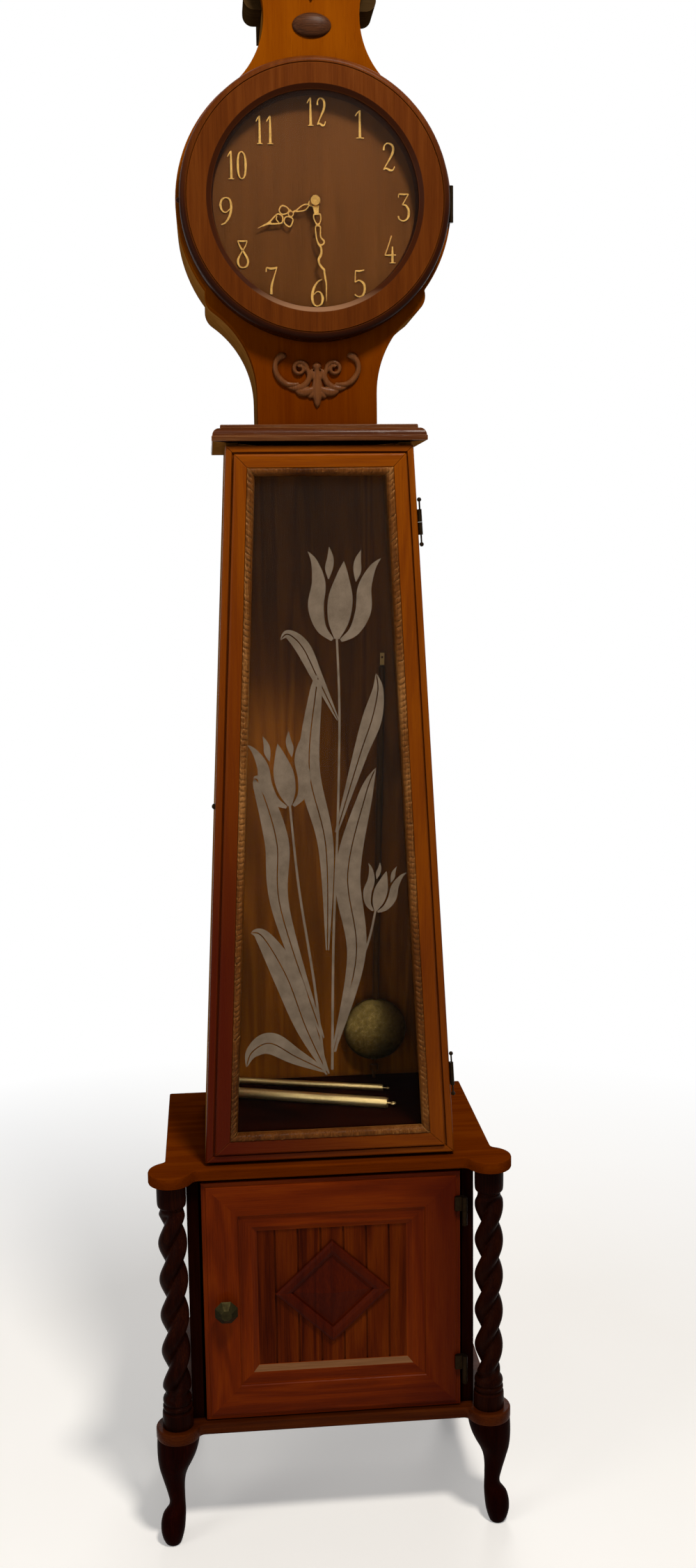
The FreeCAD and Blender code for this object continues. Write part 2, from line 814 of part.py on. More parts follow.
# Head: one outline of lines and arcs for the board, its sides and its back.
def head_outline(depth):
    def at(x, z):
        return Vector(x, face + depth, z)
    radius = v["disc_r"]
    neck_z = head_z + v["neck_rise"]
    flare_z = neck_z + v["flare_rise"]
    flare_x = v["neck_half"] + v["flare_r"] - math.sqrt(v["flare_r"] ** 2 - v["flare_rise"] ** 2)
    half_way = neck_z + v["flare_rise"] / 2
    flare_mid = v["neck_half"] + v["flare_r"] - math.sqrt(v["flare_r"] ** 2 - (v["flare_rise"] / 2) ** 2)
    foot_z = dial_z - v["disc_foot_drop"]
    foot_x = math.sqrt(radius ** 2 - v["disc_foot_drop"] ** 2)
    shoulder_z = dial_z + math.sqrt(radius ** 2 - v["shoulder_half"] ** 2)
    throat_z = dial_z + v["throat_rise"]
    run = v["shoulder_half"] - v["throat_half"]
    throat_r = (run ** 2 + (throat_z - shoulder_z) ** 2) / (2 * run)
    crest_z = dial_z + v["crest_rise"]
    crest_x = v["throat_half"] + throat_r - math.sqrt(throat_r ** 2 - (crest_z - throat_z) ** 2)
    lobe = (v["lobe_half"], head_z + v["lobe_rise"])
    edges = []
    for side in (1, -1):
        edges.append(Part.makeLine(at(side * v["neck_half"], head_z), at(side * v["neck_half"], neck_z)))
        edges.append(Part.Arc(at(side * v["neck_half"], neck_z), at(side * flare_mid, half_way),
                              at(side * flare_x, flare_z)).toShape())
        edges.append(Part.Arc(at(side * flare_x, flare_z), at(side * lobe[0], lobe[1]),
                              at(side * foot_x, foot_z)).toShape())
        edges.append(Part.Arc(at(side * foot_x, foot_z), at(side * radius, dial_z),
                              at(side * v["shoulder_half"], shoulder_z)).toShape())
        edges.append(Part.Arc(at(side * v["shoulder_half"], shoulder_z), at(side * v["throat_half"], throat_z),
                              at(side * crest_x, crest_z)).toShape())
    top = at(0, crest_z + v["crest_arch"])
    edges.append(Part.Arc(at(crest_x, crest_z), top, at(-crest_x, crest_z)).toShape())
    edges.append(Part.makeLine(at(-v["neck_half"], head_z), at(v["neck_half"], head_z)))
    ordered = Part.sortEdges(edges)[0]
    return Part.Face(Part.Wire(ordered))


board_rear = v["head_face"] + v["head_board"]
board = head_outline(v["head_face"]).extrude(Vector(0, v["head_board"], 0))
board = board.cut(drum(v["board_hole_r"], v["head_face"] - 1, board_rear + 1, 0, dial_z))
made("head_front_board", board)
cap_z = dial_z + v["cap_rise"]
outline = head_outline(board_rear)
inner_outline = outline.makeOffset2D(-v["head_wall"])
case_deep = v["head_back"] - board_rear
rim = outline.extrude(Vector(0, case_deep, 0)).cut(inner_outline.extrude(Vector(0, case_deep, 0)))
wide_half = v["disc_r"] + v["lobe_half"]
above = slab(-wide_half, wide_half, board_rear - 1, v["head_back"] + 1, cap_z, cap_z + v["disc_r"])
below_half = v["neck_half"] - v["head_wall"]
below = slab(-below_half, below_half, board_rear - 1, v["head_back"] + 1, head_z - 1, head_z + 2 * v["head_wall"])
rim = rim.cut(above).cut(below)
made("head_sides", Part.makeCompound(rim.Solids))
back_panel = inner_outline.extrude(Vector(0, v["head_wall"], 0))
back_panel.translate(Vector(0, case_deep - v["head_wall"], 0))
made("head_back_board", back_panel.cut(above))
ear_rear = board_rear + v["cap_ear_deep"]
cap = slab(-v["cap_half"], v["cap_half"], board_rear, ear_rear, cap_z, cap_z + v["cap_tall"])
cap_edges = []
for edge in cap.Edges:
    middle = edge.CenterOfMass
    if abs(abs(middle.x) - v["cap_half"]) < 0.01 and abs(edge.Vertexes[0].Z - edge.Vertexes[1].Z) < 0.01:
        if abs(edge.Vertexes[0].X - edge.Vertexes[1].X) < 0.01:
            cap_edges.append(edge)
cap = cap.makeFillet(v["cap_round"], cap_edges)
cap_rear = v["head_back"] + v["cap_over"]
lid = slab(-v["cap_flush"], v["cap_flush"], board_rear, cap_rear, cap_z, cap_z + v["cap_tall"])
made("head_cap", cap.fuse(lid).removeSplitter())

# Applied ornament on the head.
boss = Part.makeSphere(1)
stretch = FreeCAD.Matrix()
stretch.scale(v["boss_half_x"], v["boss_stand"], v["boss_half_z"])
boss = boss.transformGeometry(stretch)
boss.translate(Vector(0, face + v["head_face"], dial_z + v["boss_rise"]))
front_half = slab(-v["cap_half"], v["cap_half"], 0, v["head_face"], dial_z, dial_z + 2 * v["boss_rise"])
made("head_boss", boss.common(front_half))


def leaf_shape(half, low, high, thick, belly):
    depth = face + v["head_face"] - thick
    foot = Vector(0, depth, low)
    tip = Vector(0, depth, high)
    level = low + (high - low) * belly
    right = Part.Arc(foot, Vector(half, depth, level), tip).toShape()
    left = Part.Arc(tip, Vector(-half, depth, level), foot).toShape()
    return Part.Face(Part.Wire([right, left])).extrude(Vector(0, thick, 0))


leaf_low = dial_z + v["boss_rise"] + v["boss_half_z"] + v["leaf_gap"]
made("crest_leaf", leaf_shape(v["leaf_half"], leaf_low, leaf_low + v["leaf_tall"], v["leaf_thick"], 0.5))


# Scroll carving: a flat coil each side of an upright leaf.
def coil(side):
    middle_z = head_z + v["scroll_rise"]
    depth = face + v["head_face"] - v["scroll_thick"]
    tracks = []
    for inset in (0, v["scroll_band"]):
        points = []
        for step in range(25):
            share = step / 24
            angle = -0.5 * math.pi + 3.4 * math.pi * share
            radius = v["scroll_coil"] * (1.25 - 0.75 * share) - inset * (1 - 0.35 * share)
            x = side * (v["scroll_x"] - radius * math.cos(angle))
            points.append(Vector(x, depth, middle_z + radius * math.sin(angle)))
        tracks.append(points)
    outer = Part.BSplineCurve()
    outer.interpolate(tracks[0])
    inner = Part.BSplineCurve()
    inner.interpolate(tracks[1])
    start = Part.makeLine(tracks[0][0], tracks[1][0])
    stop = Part.makeLine(tracks[0][-1], tracks[1][-1])
    ordered = Part.sortEdges([outer.toShape(), inner.toShape(), start, stop])[0]
    band = Part.Face(Part.Wire(ordered)).extrude(Vector(0, v["scroll_thick"], 0))
    return band


scroll_low = head_z + v["scroll_rise"] - v["scroll_leaf_tall"] / 2
scroll_leaf = leaf_shape(v["scroll_leaf_half"], scroll_low, scroll_low + v["scroll_leaf_tall"], v["scroll_thick"], 0.45)
foot_depth = v["head_face"] - v["scroll_thick"]
scroll_foot = slab(-v["scroll_x"], v["scroll_x"], foot_depth, v["head_face"],
                   head_z + v["scroll_rise"] - v["scroll_coil"] * 1.25,
                   head_z + v["scroll_rise"] - v["scroll_coil"] * 1.25 + v["scroll_band"])
made("neck_scroll", coil(1).fuse([coil(-1), scroll_leaf, scroll_foot]).removeSplitter())


def ring_of(profile):
    points = [Vector(radius, face + depth, dial_z) for radius, depth in profile]
    flat = Part.Face(Part.makePolygon(points + points[:1]))
    return flat.revolve(Vector(0, 0, dial_z), Vector(0, 1, 0), 360)


# Dial: a turned plate on the head board inside the bezel, with a sloping rim.
dial_front = v["head_face"] - v["dial_thick"]
rim_front = dial_front - v["rim_stand"]
dial_profile = (
    (v["board_hole_r"], dial_front),
    (v["rim_sight"], dial_front),
    (v["dial_r"] - v["rim_flat"], rim_front),
    (v["dial_r"], rim_front),
    (v["dial_r"], v["head_face"]),
    (v["board_hole_r"], v["head_face"]),
)
made("dial", ring_of(dial_profile))


# Numerals: strokes and round bands, drawn in a box of one wide and one tall.
def plate_from(points, depth, thick):
    corners = [Vector(x, face + depth, z) for x, z in points]
    return Part.Face(Part.makePolygon(corners + corners[:1])).extrude(Vector(0, thick, 0))


def stroke(start, stop):
    wide = v["numeral_wide"]
    tall = v["numeral_tall"]
    x0, z0 = start[0] * wide, start[1] * tall
    x1, z1 = stop[0] * wide, stop[1] * tall
    long = math.hypot(x1 - x0, z1 - z0)
    px = -(z1 - z0) / long * v["numeral_stroke"] / 2
    pz = (x1 - x0) / long * v["numeral_stroke"] / 2
    points = ((x0 + px, z0 + pz), (x1 + px, z1 + pz), (x1 - px, z1 - pz), (x0 - px, z0 - pz))
    return plate_from(points, 0, v["numeral_thick"])


def oval(middle, half_x, half_z, first, last):
    wide = v["numeral_wide"]
    tall = v["numeral_tall"]
    thick = v["numeral_thick"]
    out_x = half_x * wide
    out_z = half_z * tall

    def disc(rx, rz):
        puck = Part.makeCylinder(1, thick, Vector(0, 0, 0), Vector(0, 1, 0))
        shape = FreeCAD.Matrix()
        shape.scale(rx, 1, rz)
        return puck.transformGeometry(shape)
    band = disc(out_x, out_z).cut(disc(out_x - v["numeral_stroke"], out_z - v["numeral_stroke"]))
    if last - first < 359:
        reach = 2 * tall
        fan = [(0, 0)]
        for step in range(5):
            angle = math.radians(first + (last - first) * step / 4)
            fan.append((reach * math.cos(angle), reach * math.sin(angle)))
        band = band.common(plate_from(fan, -face, thick))
    band.translate(Vector(middle[0] * wide, face, middle[1] * tall))
    return band


low_ring = ((0.5, 0.29), 0.5, 0.29)
high_ring = ((0.5, 0.73), 0.46, 0.27)
inset = v["numeral_stroke"] / 2
ix = inset / v["numeral_wide"]
iz = inset / v["numeral_tall"]


def digit(figure):
    if figure == 0:
        return [oval((0.5, 0.5), 0.5, 0.5, 0, 360)]
    if figure == 1:
        return [stroke((0.55, 0), (0.55, 1)), stroke((0.2, 0.78), (0.55, 0.98))]
    if figure == 2:
        return [oval(*high_ring, -35, 180), stroke((0.82, 0.64), (0.1, 0.02)), stroke((0, iz), (1, iz))]
    if figure == 3:
        return [oval(*low_ring, -170, 100), oval(*high_ring, -100, 170)]
    if figure == 4:
        return [stroke((0.72, 0), (0.72, 1)), stroke((0.72, 0.98), (0.04, 0.3)), stroke((0, 0.3), (1, 0.3))]
    if figure == 5:
        return [stroke((0.1, 1 - iz), (0.92, 1 - iz)), stroke((0.1 + ix, 1 - iz), (0.1 + ix, 0.48)),
                oval(*low_ring, -170, 125)]
    if figure == 6:
        return [oval(*low_ring, 0, 360), oval((0.85, 0.29), 0.85, 0.71, 105, 180)]
    if figure == 7:
        return [stroke((0, 1 - iz), (1, 1 - iz)), stroke((0.92, 0.97), (0.35, 0))]
    if figure == 8:
        return [oval(*low_ring, 0, 360), oval(*high_ring, 0, 360)]
    return [oval((0.5, 0.71), 0.5, 0.29, 0, 360), oval((0.15, 0.71), 0.85, 0.71, -75, 0)]


numerals = []
for hour in range(1, 13):
    figures = [int(letter) for letter in str(hour)]
    step = v["numeral_pair_step"]
    total = step * (len(figures) - 1) + v["numeral_wide"]
    angle = math.radians(30 * hour)
    left = v["numeral_ring"] * math.sin(angle) - total / 2
    low = dial_z + v["numeral_ring"] * math.cos(angle) - v["numeral_tall"] / 2
    for place, figure in enumerate(figures):
        strokes = digit(figure)
        shape = strokes[0]
        if len(strokes) > 1:
            shape = shape.fuse(strokes[1:])
        shape.translate(Vector(left + place * step, dial_front - v["numeral_thick"], low))
        numerals.append(shape)
made("numerals", Part.makeCompound(numerals))


# Bezel: a turned ring that swings on a hinge at its right, with its glass behind the lip.
bezel_rear = v["head_face"] - v["bezel_gap"]
lip_rear = v["bezel_face"] + v["bezel_lip"]
groove_r = v["bezel_r"] - v["bezel_round"] - v["bezel_groove"]
bezel_profile = (
    (v["bezel_sight"], lip_rear - v["bezel_edge"]),
    (v["bezel_sight"] + v["bezel_bevel"], v["bezel_face"]),
    (groove_r - v["bezel_groove"] / 2, v["bezel_face"]),
    (groove_r, v["bezel_face"] + v["bezel_groove"]),
    (groove_r + v["bezel_groove"] / 2, v["bezel_face"]),
    (v["bezel_r"], v["bezel_face"]),
    (v["bezel_r"], bezel_rear),
    (v["bezel_inner"], bezel_rear),
    (v["bezel_inner"], lip_rear),
    (v["bezel_sight"], lip_rear),
)
bezel = ring_of(bezel_profile)


def round_edge(shape, radius, depth, amount):
    chosen = []
    for edge in shape.Edges:
        if not isinstance(edge.Curve, Part.Circle):
            continue
        same_radius = abs(edge.Curve.Radius - radius) < 0.01
        if same_radius and abs(edge.Curve.Center.y - face - depth) < 0.01:
            chosen.append(edge)
    return shape.makeFillet(amount, chosen)


bezel = round_edge(bezel, v["bezel_r"], v["bezel_face"], v["bezel_round"])
made("bezel_ring", bezel)
keep(turned("bezel_glass", "bezel_inner", "bezel_face + bezel_lip", "bezel_face + bezel_lip + bezel_glass_thick",
            "0", z_dial))
catch_end = Vector(-v["bezel_r"] - v["bezel_catch_out"], face + v["bezel_catch_y"], dial_z)
catch_stem = Part.makeCylinder(v["bezel_catch_r"] * 0.6, v["bezel_catch_out"] + 1, catch_end, Vector(1, 0, 0))
catch_tip = Part.makeSphere(v["bezel_catch_r"], catch_end, Vector(1, 0, 0))
catch_tip = catch_tip.cut(drum(v["bezel_r"], v["bezel_face"], bezel_rear, 0, dial_z))
made("bezel_catch", catch_stem.fuse(catch_tip).removeSplitter())
pin_x = v["bezel_r"] + v["bezel_hinge_out"]
pin_y = v["head_face"] - v["bezel_hinge_r"] - v["bezel_gap"]
quarter = v["bezel_hinge_tall"] / 4
gap = v["run_gap"] / 2
knuckle = barrel(v["bezel_hinge_r"], dial_z - quarter + gap, dial_z + quarter - gap, pin_x, face + pin_y)
tongue = slab(v["bezel_r"] - 5, pin_x, pin_y - 1, pin_y + 1, dial_z - quarter + gap, dial_z + quarter - gap)
made("bezel_hinge", knuckle.fuse(tongue).removeSplitter())
for side in (-1, 1):
    level = dial_z + side * 1.5 * quarter
    still = barrel(v["bezel_hinge_r"], level - quarter / 2, level + quarter / 2, pin_x, face + pin_y)
    foot = drum(v["bezel_hinge_r"] * 0.6, pin_y, v["head_face"] + v["head_board"] / 2, pin_x - 2.5, level)
    case_hinge_parts.append(still.fuse(foot).removeSplitter())
made("case_hinges", Part.makeCompound(case_hinge_parts))


# Hands: flat plates with a wavy or straight stem, rings, and a pointed tip.
def hand_plate(long, tail, wave, depth, turn, bore):
    half = v["hand_stem"] / 2
    thick = v["hand_thick"]
    left = []
    right = []
    for step in range(13):
        share = step / 12
        along = v["hand_hub"] * 0.8 + (long - v["hand_hub"] * 0.8) * share
        swing = wave * math.sin(4 * math.pi * share) * (1 - share)
        thin = half * (1 - 0.75 * share)
        left.append(Vector(swing - thin, 0, along))
        right.append(Vector(swing + thin, 0, along))
    left_curve = Part.BSplineCurve()
    left_curve.interpolate(left)
    right_curve = Part.BSplineCurve()
    right_curve.interpolate(right)
    closed = [left_curve.toShape(), Part.makeLine(left[-1], right[-1]), right_curve.toShape(),
              Part.makeLine(right[0], left[0])]
    stem = Part.Face(Part.Wire(Part.sortEdges(closed)[0])).extrude(Vector(0, thick, 0))
    hub = Part.makeCylinder(v["hand_hub"], thick, Vector(), Vector(0, 1, 0))
    parts = [hub]
    for share, radius in ((0.3, v["hand_hub"] * 0.75), (0.62, v["hand_hub"] * 0.55)):
        for side in (-1, 1):
            swing = wave * math.sin(4 * math.pi * share) * (1 - share)
            middle = Vector(swing + side * radius * 0.9, 0, long * share)
            ring = Part.makeCylinder(radius, thick, middle, Vector(0, 1, 0))
            ring = ring.cut(Part.makeCylinder(radius * 0.62, thick, middle, Vector(0, 1, 0)))
            parts.append(ring)
    if tail > 0:
        parts.append(Part.makeBox(v["hand_stem"], thick, tail, Vector(-half, 0, -tail)))
        parts.append(Part.makeCylinder(v["hand_stem"], thick, Vector(0, 0, -tail), Vector(0, 1, 0)))
    whole = stem.fuse(parts).removeSplitter()
    whole = whole.cut(Part.makeCylinder(bore, thick, Vector(), Vector(0, 1, 0)))
    whole.rotate(Vector(), Vector(0, 1, 0), turn)
    whole.translate(Vector(0, face + depth, dial_z))
    return whole


made("minute_hand", hand_plate(v["minute_long"], v["minute_back"], 4, v["minute_y"], v["minute_turn"], v["arbor_r"]))
made("hour_hand", hand_plate(v["hour_long"], 0, 0, v["hour_y"], v["hour_turn"], v["pipe_r"] + v["arbor_gap"]))
nut = Part.makeSphere(v["nut_r"], Vector(0, face + v["minute_y"], dial_z))
nut_front = v["minute_y"] - v["nut_tall"]
nut = nut.common(slab(-v["nut_r"], v["nut_r"], nut_front, v["minute_y"], dial_z - v["nut_r"], dial_z + v["nut_r"]))
made("hand_nut", nut.cut(drum(v["arbor_r"], nut_front + 2, v["minute_y"], 0, dial_z)))


# Wheels: thin clock teeth, so that every pair runs with free play.
def toothed(teeth, module, y0, y1, x, z, phase, root_share=0.22, tip_share=0.09):
    pitch_r = teeth * module / 2
    tip = pitch_r + 0.9 * module
    root = pitch_r - 1.25 * module
    step = 2 * math.pi / teeth
    points = []
    for tooth in range(int(teeth)):
        middle = phase + tooth * step
        flanks = ((root, -root_share), (tip, -tip_share), (tip, tip_share), (root, root_share))
        for radius, share in flanks:
            angle = middle + share * step
            points.append((x + radius * math.cos(angle), z + radius * math.sin(angle)))
    return plate_from(points, y0, y1 - y0)


def mate_phase(bearing, phase, teeth, other_teeth):
    ahead = (bearing - phase) * teeth / (2 * math.pi)
    return bearing + math.pi + (ahead - 0.5) * 2 * math.pi / other_teeth


def windows(wheel, radius, y0, y1, x, z):
    for spoke in range(5):
        angle = 2 * math.pi * spoke / 5
        hole = drum(radius * 0.24, y0 - 1, y1 + 1, x + radius * 0.55 * math.cos(angle),
                    z + radius * 0.55 * math.sin(angle))
        wheel = wheel.cut(hole)
    return wheel


pin = int(v["pinion_teeth"])
thick = v["wheel_thick"]
front_plate = v["plate_front"]
rear_plate = v["plate_rear"]
rear_end = rear_plate + v["plate_thick"]
great_reach = (v["great_teeth"] + pin) * v["great_module"] / 2
third_reach = (v["centre_teeth"] + pin) * v["centre_module"] / 2
escape_reach = (v["third_teeth"] + pin) * v["third_module"] / 2
third_angle = math.radians(v["third_bearing"])
third_x = third_reach * math.cos(third_angle)
third_z = dial_z + third_reach * math.sin(third_angle)
escape_x = 0
escape_z = third_z + math.sqrt(escape_reach ** 2 - third_x ** 2)
great_z = dial_z - great_reach
anchor_z = escape_z + v["escape_r"] + v["anchor_stand"]
motion_reach = (v["cannon_teeth"] + v["minute_teeth"]) * v["cannon_module"] / 2
hour_module = 2 * motion_reach / (v["hour_teeth"] + pin)
great_y = front_plate + 6
third_y = front_plate + 20
escape_y = front_plate + 29
centre_y = front_plate + 37
motion_y = front_plate - 10
hour_wheel_y = front_plate - 15.5

# Seat board, plates, pillars and the suspension cock.
seat_z = dial_z - v["seat_drop"]
seat = slab(-v["seat_half"], v["seat_half"], board_rear, v["head_back"] - v["head_wall"], seat_z,
            seat_z + v["seat_thick"])
for side in (-1, 1):
    middle = side * v["sprocket_r"]
    seat = seat.cut(slab(middle - v["chain_hole"] / 2, middle + v["chain_hole"] / 2, great_y + 4, great_y + 16,
                         seat_z - 1, seat_z + v["seat_thick"] + 1))
slot = slab(-v["leader_slot_half"], v["leader_slot_half"], v["leader_y"] - 6, v["leader_y"] + 6, seat_z - 1,
            seat_z + v["seat_thick"] + 1)
made("seat_board", seat.cut(slot))
plate_low = seat_z + v["seat_thick"]
plate_high = anchor_z + v["plate_over"]
arbor_spots = ((0, great_z), (0, dial_z), (third_x, third_z), (escape_x, escape_z), (0, anchor_z))
plates = []
for depth in (front_plate, rear_plate):
    plate = slab(-v["plate_half"], v["plate_half"], depth, depth + v["plate_thick"], plate_low, plate_high)
    for x, z in arbor_spots:
        plate = plate.cut(drum(v["arbor_r"] + v["arbor_gap"], depth - 1, depth + v["plate_thick"] + 1, x, z))
    plates.append(plate)
minute_post = drum(v["arbor_r"], hour_wheel_y - 1, front_plate, motion_reach, dial_z)
plates[0] = plates[0].fuse(minute_post)
made("movement_plates", Part.makeCompound(plates))
pillars = []
for x in (-1, 1):
    for level in (plate_low + v["pillar_inset"], plate_high - v["pillar_inset"]):
        pillars.append(drum(v["pillar_r"], front_plate + v["plate_thick"], rear_plate,
                            x * (v["plate_half"] - v["pillar_inset"]), level))
made("movement_pillars", Part.makeCompound(pillars))
cock_y = v["leader_y"] + 3
cock_half = v["cock_half"]
cock_low = anchor_z + v["cock_over"]
cock_high = cock_low + v["cock_thick"]
cock_rear = cock_y + v["cock_thick"]
cock_arm = slab(-cock_half, cock_half, rear_end, cock_rear, cock_low, cock_high)
cock_drop = slab(-cock_half, cock_half, cock_y, cock_rear, anchor_z - cock_half, cock_high)
cock_foot = slab(-2 * cock_half, 2 * cock_half, rear_end, rear_end + v["cock_thick"] / 2, cock_low, plate_high)
cock_pin = drum(v["arbor_r"], v["leader_y"] - 3, cock_y, 0, anchor_z)
made("suspension_cock", cock_arm.fuse([cock_drop, cock_foot, cock_pin]).removeSplitter())


def arbor(x, z, y0, y1):
    return drum(v["arbor_r"], y0, y1, x, z)


def waist(x, z, y0, y1):
    return drum(v["arbor_r"] * 1.5, y0, y1, x, z)


inside = front_plate + v["plate_thick"] + v["run_gap"]
inside_rear = rear_plate - v["run_gap"]
centre_phase = 0.0
great_phase = mate_phase(-math.pi / 2, centre_phase, pin, v["great_teeth"])
third_phase = mate_phase(third_angle, centre_phase, v["centre_teeth"], pin)
escape_bearing = math.atan2(escape_z - third_z, escape_x - third_x)
escape_phase = mate_phase(escape_bearing, third_phase, v["third_teeth"], pin)

# Centre arbor with its pinion and wheel.
centre_wheel = toothed(v["centre_teeth"], v["centre_module"], centre_y, centre_y + thick, 0, dial_z, centre_phase)
centre_wheel = windows(centre_wheel, v["centre_teeth"] * v["centre_module"] / 2, centre_y, centre_y + thick, 0, dial_z)
centre_pinion = toothed(pin, v["great_module"], great_y - 2, great_y + 5, 0, dial_z, centre_phase)
centre = arbor(0, dial_z, nut_front + 2, rear_end)
centre = centre.fuse([waist(0, dial_z, inside, inside_rear), centre_pinion, centre_wheel])
made("centre_arbor", centre.removeSplitter())

# Great wheel with the chain sprocket.
great_r = v["great_teeth"] * v["great_module"] / 2
great_wheel = toothed(v["great_teeth"], v["great_module"], great_y, great_y + thick, 0, great_z, great_phase)
great_wheel = windows(great_wheel, great_r, great_y, great_y + thick, 0, great_z)
sprocket = drum(v["sprocket_r"], great_y + thick, great_y + 14, 0, great_z)
groove = ring_of(((v["sprocket_r"] - 3, great_y + 8), (v["sprocket_r"] + 1, great_y + 5),
                  (v["sprocket_r"] + 1, great_y + 11)))
groove.translate(Vector(0, 0, great_z - dial_z))
great = arbor(0, great_z, front_plate, rear_end)
great = great.fuse([waist(0, great_z, inside, inside_rear), great_wheel, sprocket.cut(groove)])
made("great_wheel", great.removeSplitter())

# Third wheel and pinion.
third_wheel = toothed(v["third_teeth"], v["third_module"], third_y, third_y + thick, third_x, third_z, third_phase)
third_wheel = windows(third_wheel, v["third_teeth"] * v["third_module"] / 2, third_y, third_y + thick, third_x, third_z)
third_pinion = toothed(pin, v["centre_module"], centre_y - 5, centre_y + 7, third_x, third_z, third_phase)
third = arbor(third_x, third_z, front_plate, rear_end)
third = third.fuse([waist(third_x, third_z, inside, inside_rear), third_wheel, third_pinion])
made("third_wheel", third.removeSplitter())

# Escape wheel and pinion.
escape_step = 2 * math.pi / v["escape_teeth"]
escape_points = []
for tooth in range(int(v["escape_teeth"])):
    start = tooth * escape_step
    for radius, share in ((0.82, 0.0), (1.0, 0.62), (1.0, 0.7), (0.82, 0.75)):
        angle = start + share * escape_step
        escape_points.append((escape_x + radius * v["escape_r"] * math.cos(angle),
                              escape_z + radius * v["escape_r"] * math.sin(angle)))
escape_wheel = plate_from(escape_points, escape_y, v["escape_thick"])
escape_wheel = windows(escape_wheel, v["escape_r"] * 0.82, escape_y, escape_y + v["escape_thick"], escape_x, escape_z)
escape_pinion = toothed(pin, v["third_module"], third_y - 5, third_y + 7, escape_x, escape_z, escape_phase)
escape = arbor(escape_x, escape_z, front_plate, rear_end)
escape = escape.fuse([waist(escape_x, escape_z, third_y + 7, inside_rear), escape_wheel, escape_pinion])
made("escape_wheel", escape.removeSplitter())

# Anchor with its crutch, and the leader that the pendulum hooks on.
arm_half = v["anchor_arm"] / 2
pallet_ring = v["escape_r"] + v["pallet_gap"] + arm_half
pallet_angle = math.radians(v["pallet_bearing"])
pallet_x = pallet_ring * math.sin(pallet_angle)
pallet_drop = anchor_z - escape_z - pallet_ring * math.cos(pallet_angle)
arm_long = math.hypot(pallet_x, pallet_drop)
arm_tilt = math.degrees(math.atan2(pallet_x, pallet_drop))
escape_rear = escape_y + v["escape_thick"]
arms = [drum(v["anchor_arm"] + 1, escape_y, escape_rear, 0, anchor_z)]
for side in (-1, 1):
    arm = slab(-arm_half, arm_half, escape_y, escape_rear, anchor_z - arm_long, anchor_z)
    arm.rotate(Vector(0, 0, anchor_z), Vector(0, 1, 0), side * arm_tilt)
    arms.append(arm)
crutch_y = rear_end + 2
crutch_z = anchor_z - v["crutch_long"]
arms.append(arbor(0, anchor_z, front_plate, crutch_y + 2))
arms.append(waist(0, anchor_z, inside, inside_rear))
arms.append(slab(-1.5, 1.5, crutch_y, crutch_y + 2, crutch_z - 2, anchor_z))
arms.append(drum(v["arbor_r"], crutch_y, v["leader_y"] + 4, 0, crutch_z))
made("anchor", arms[0].fuse(arms[1:]).removeSplitter())
leader_low = anchor_z - v["leader_long"]
leader_y = v["leader_y"]
leader = barrel(v["leader_r"], leader_low, anchor_z, 0, face + leader_y)
eye = drum(4, leader_y - 2.4, leader_y + 2.4, 0, anchor_z)
loop = drum(4, leader_y - 2.4, leader_y + 2.4, 0, crutch_z)
hook = slab(-6, 6, leader_y - 2.4, leader_y + 2.4, leader_low - 3, leader_low)
leader = leader.fuse([eye, loop, hook])
for level in (anchor_z, crutch_z):
    leader = leader.cut(drum(v["arbor_r"] + v["arbor_gap"], leader_y - 6, leader_y + 6, 0, level))
made("pendulum_leader", leader.removeSplitter())

# Motion work behind the dial.
bearing = 0.0
cannon_phase = 0.0
minute_phase = mate_phase(bearing, cannon_phase, v["cannon_teeth"], v["minute_teeth"])
hour_phase = mate_phase(math.pi, minute_phase, pin, v["hour_teeth"])
cannon = toothed(v["cannon_teeth"], v["cannon_module"], motion_y, motion_y + 4, 0, dial_z, cannon_phase)
cannon = cannon.fuse(drum(v["pipe_r"], v["minute_y"] + v["hand_thick"], motion_y + 4, 0, dial_z))
cannon = cannon.cut(drum(v["arbor_r"], v["minute_y"], motion_y + 6, 0, dial_z))
made("cannon_pinion", cannon.removeSplitter())
minute_wheel = toothed(v["minute_teeth"], v["cannon_module"], motion_y + 0.5, motion_y + 3, motion_reach, dial_z,
                       minute_phase)
minute_pinion = toothed(pin, hour_module, hour_wheel_y - 0.5, motion_y + 0.5, motion_reach, dial_z, minute_phase)
minute_wheel = minute_wheel.fuse(minute_pinion)
minute_wheel = minute_wheel.cut(drum(v["arbor_r"] + v["arbor_gap"], hour_wheel_y - 3, motion_y + 6, motion_reach, dial_z))
made("minute_wheel", minute_wheel.removeSplitter())
hour_wheel = toothed(v["hour_teeth"], hour_module, hour_wheel_y, hour_wheel_y + 2.5, 0, dial_z, hour_phase)
hour_wheel = hour_wheel.fuse(drum(v["hour_pipe_r"], v["hour_y"] + v["hand_thick"], hour_wheel_y + 2.5, 0, dial_z))
hour_wheel = hour_wheel.cut(drum(v["pipe_r"] + v["arbor_gap"], v["hour_y"] - 1, hour_wheel_y + 4, 0, dial_z))
made("hour_wheel", hour_wheel.removeSplitter())

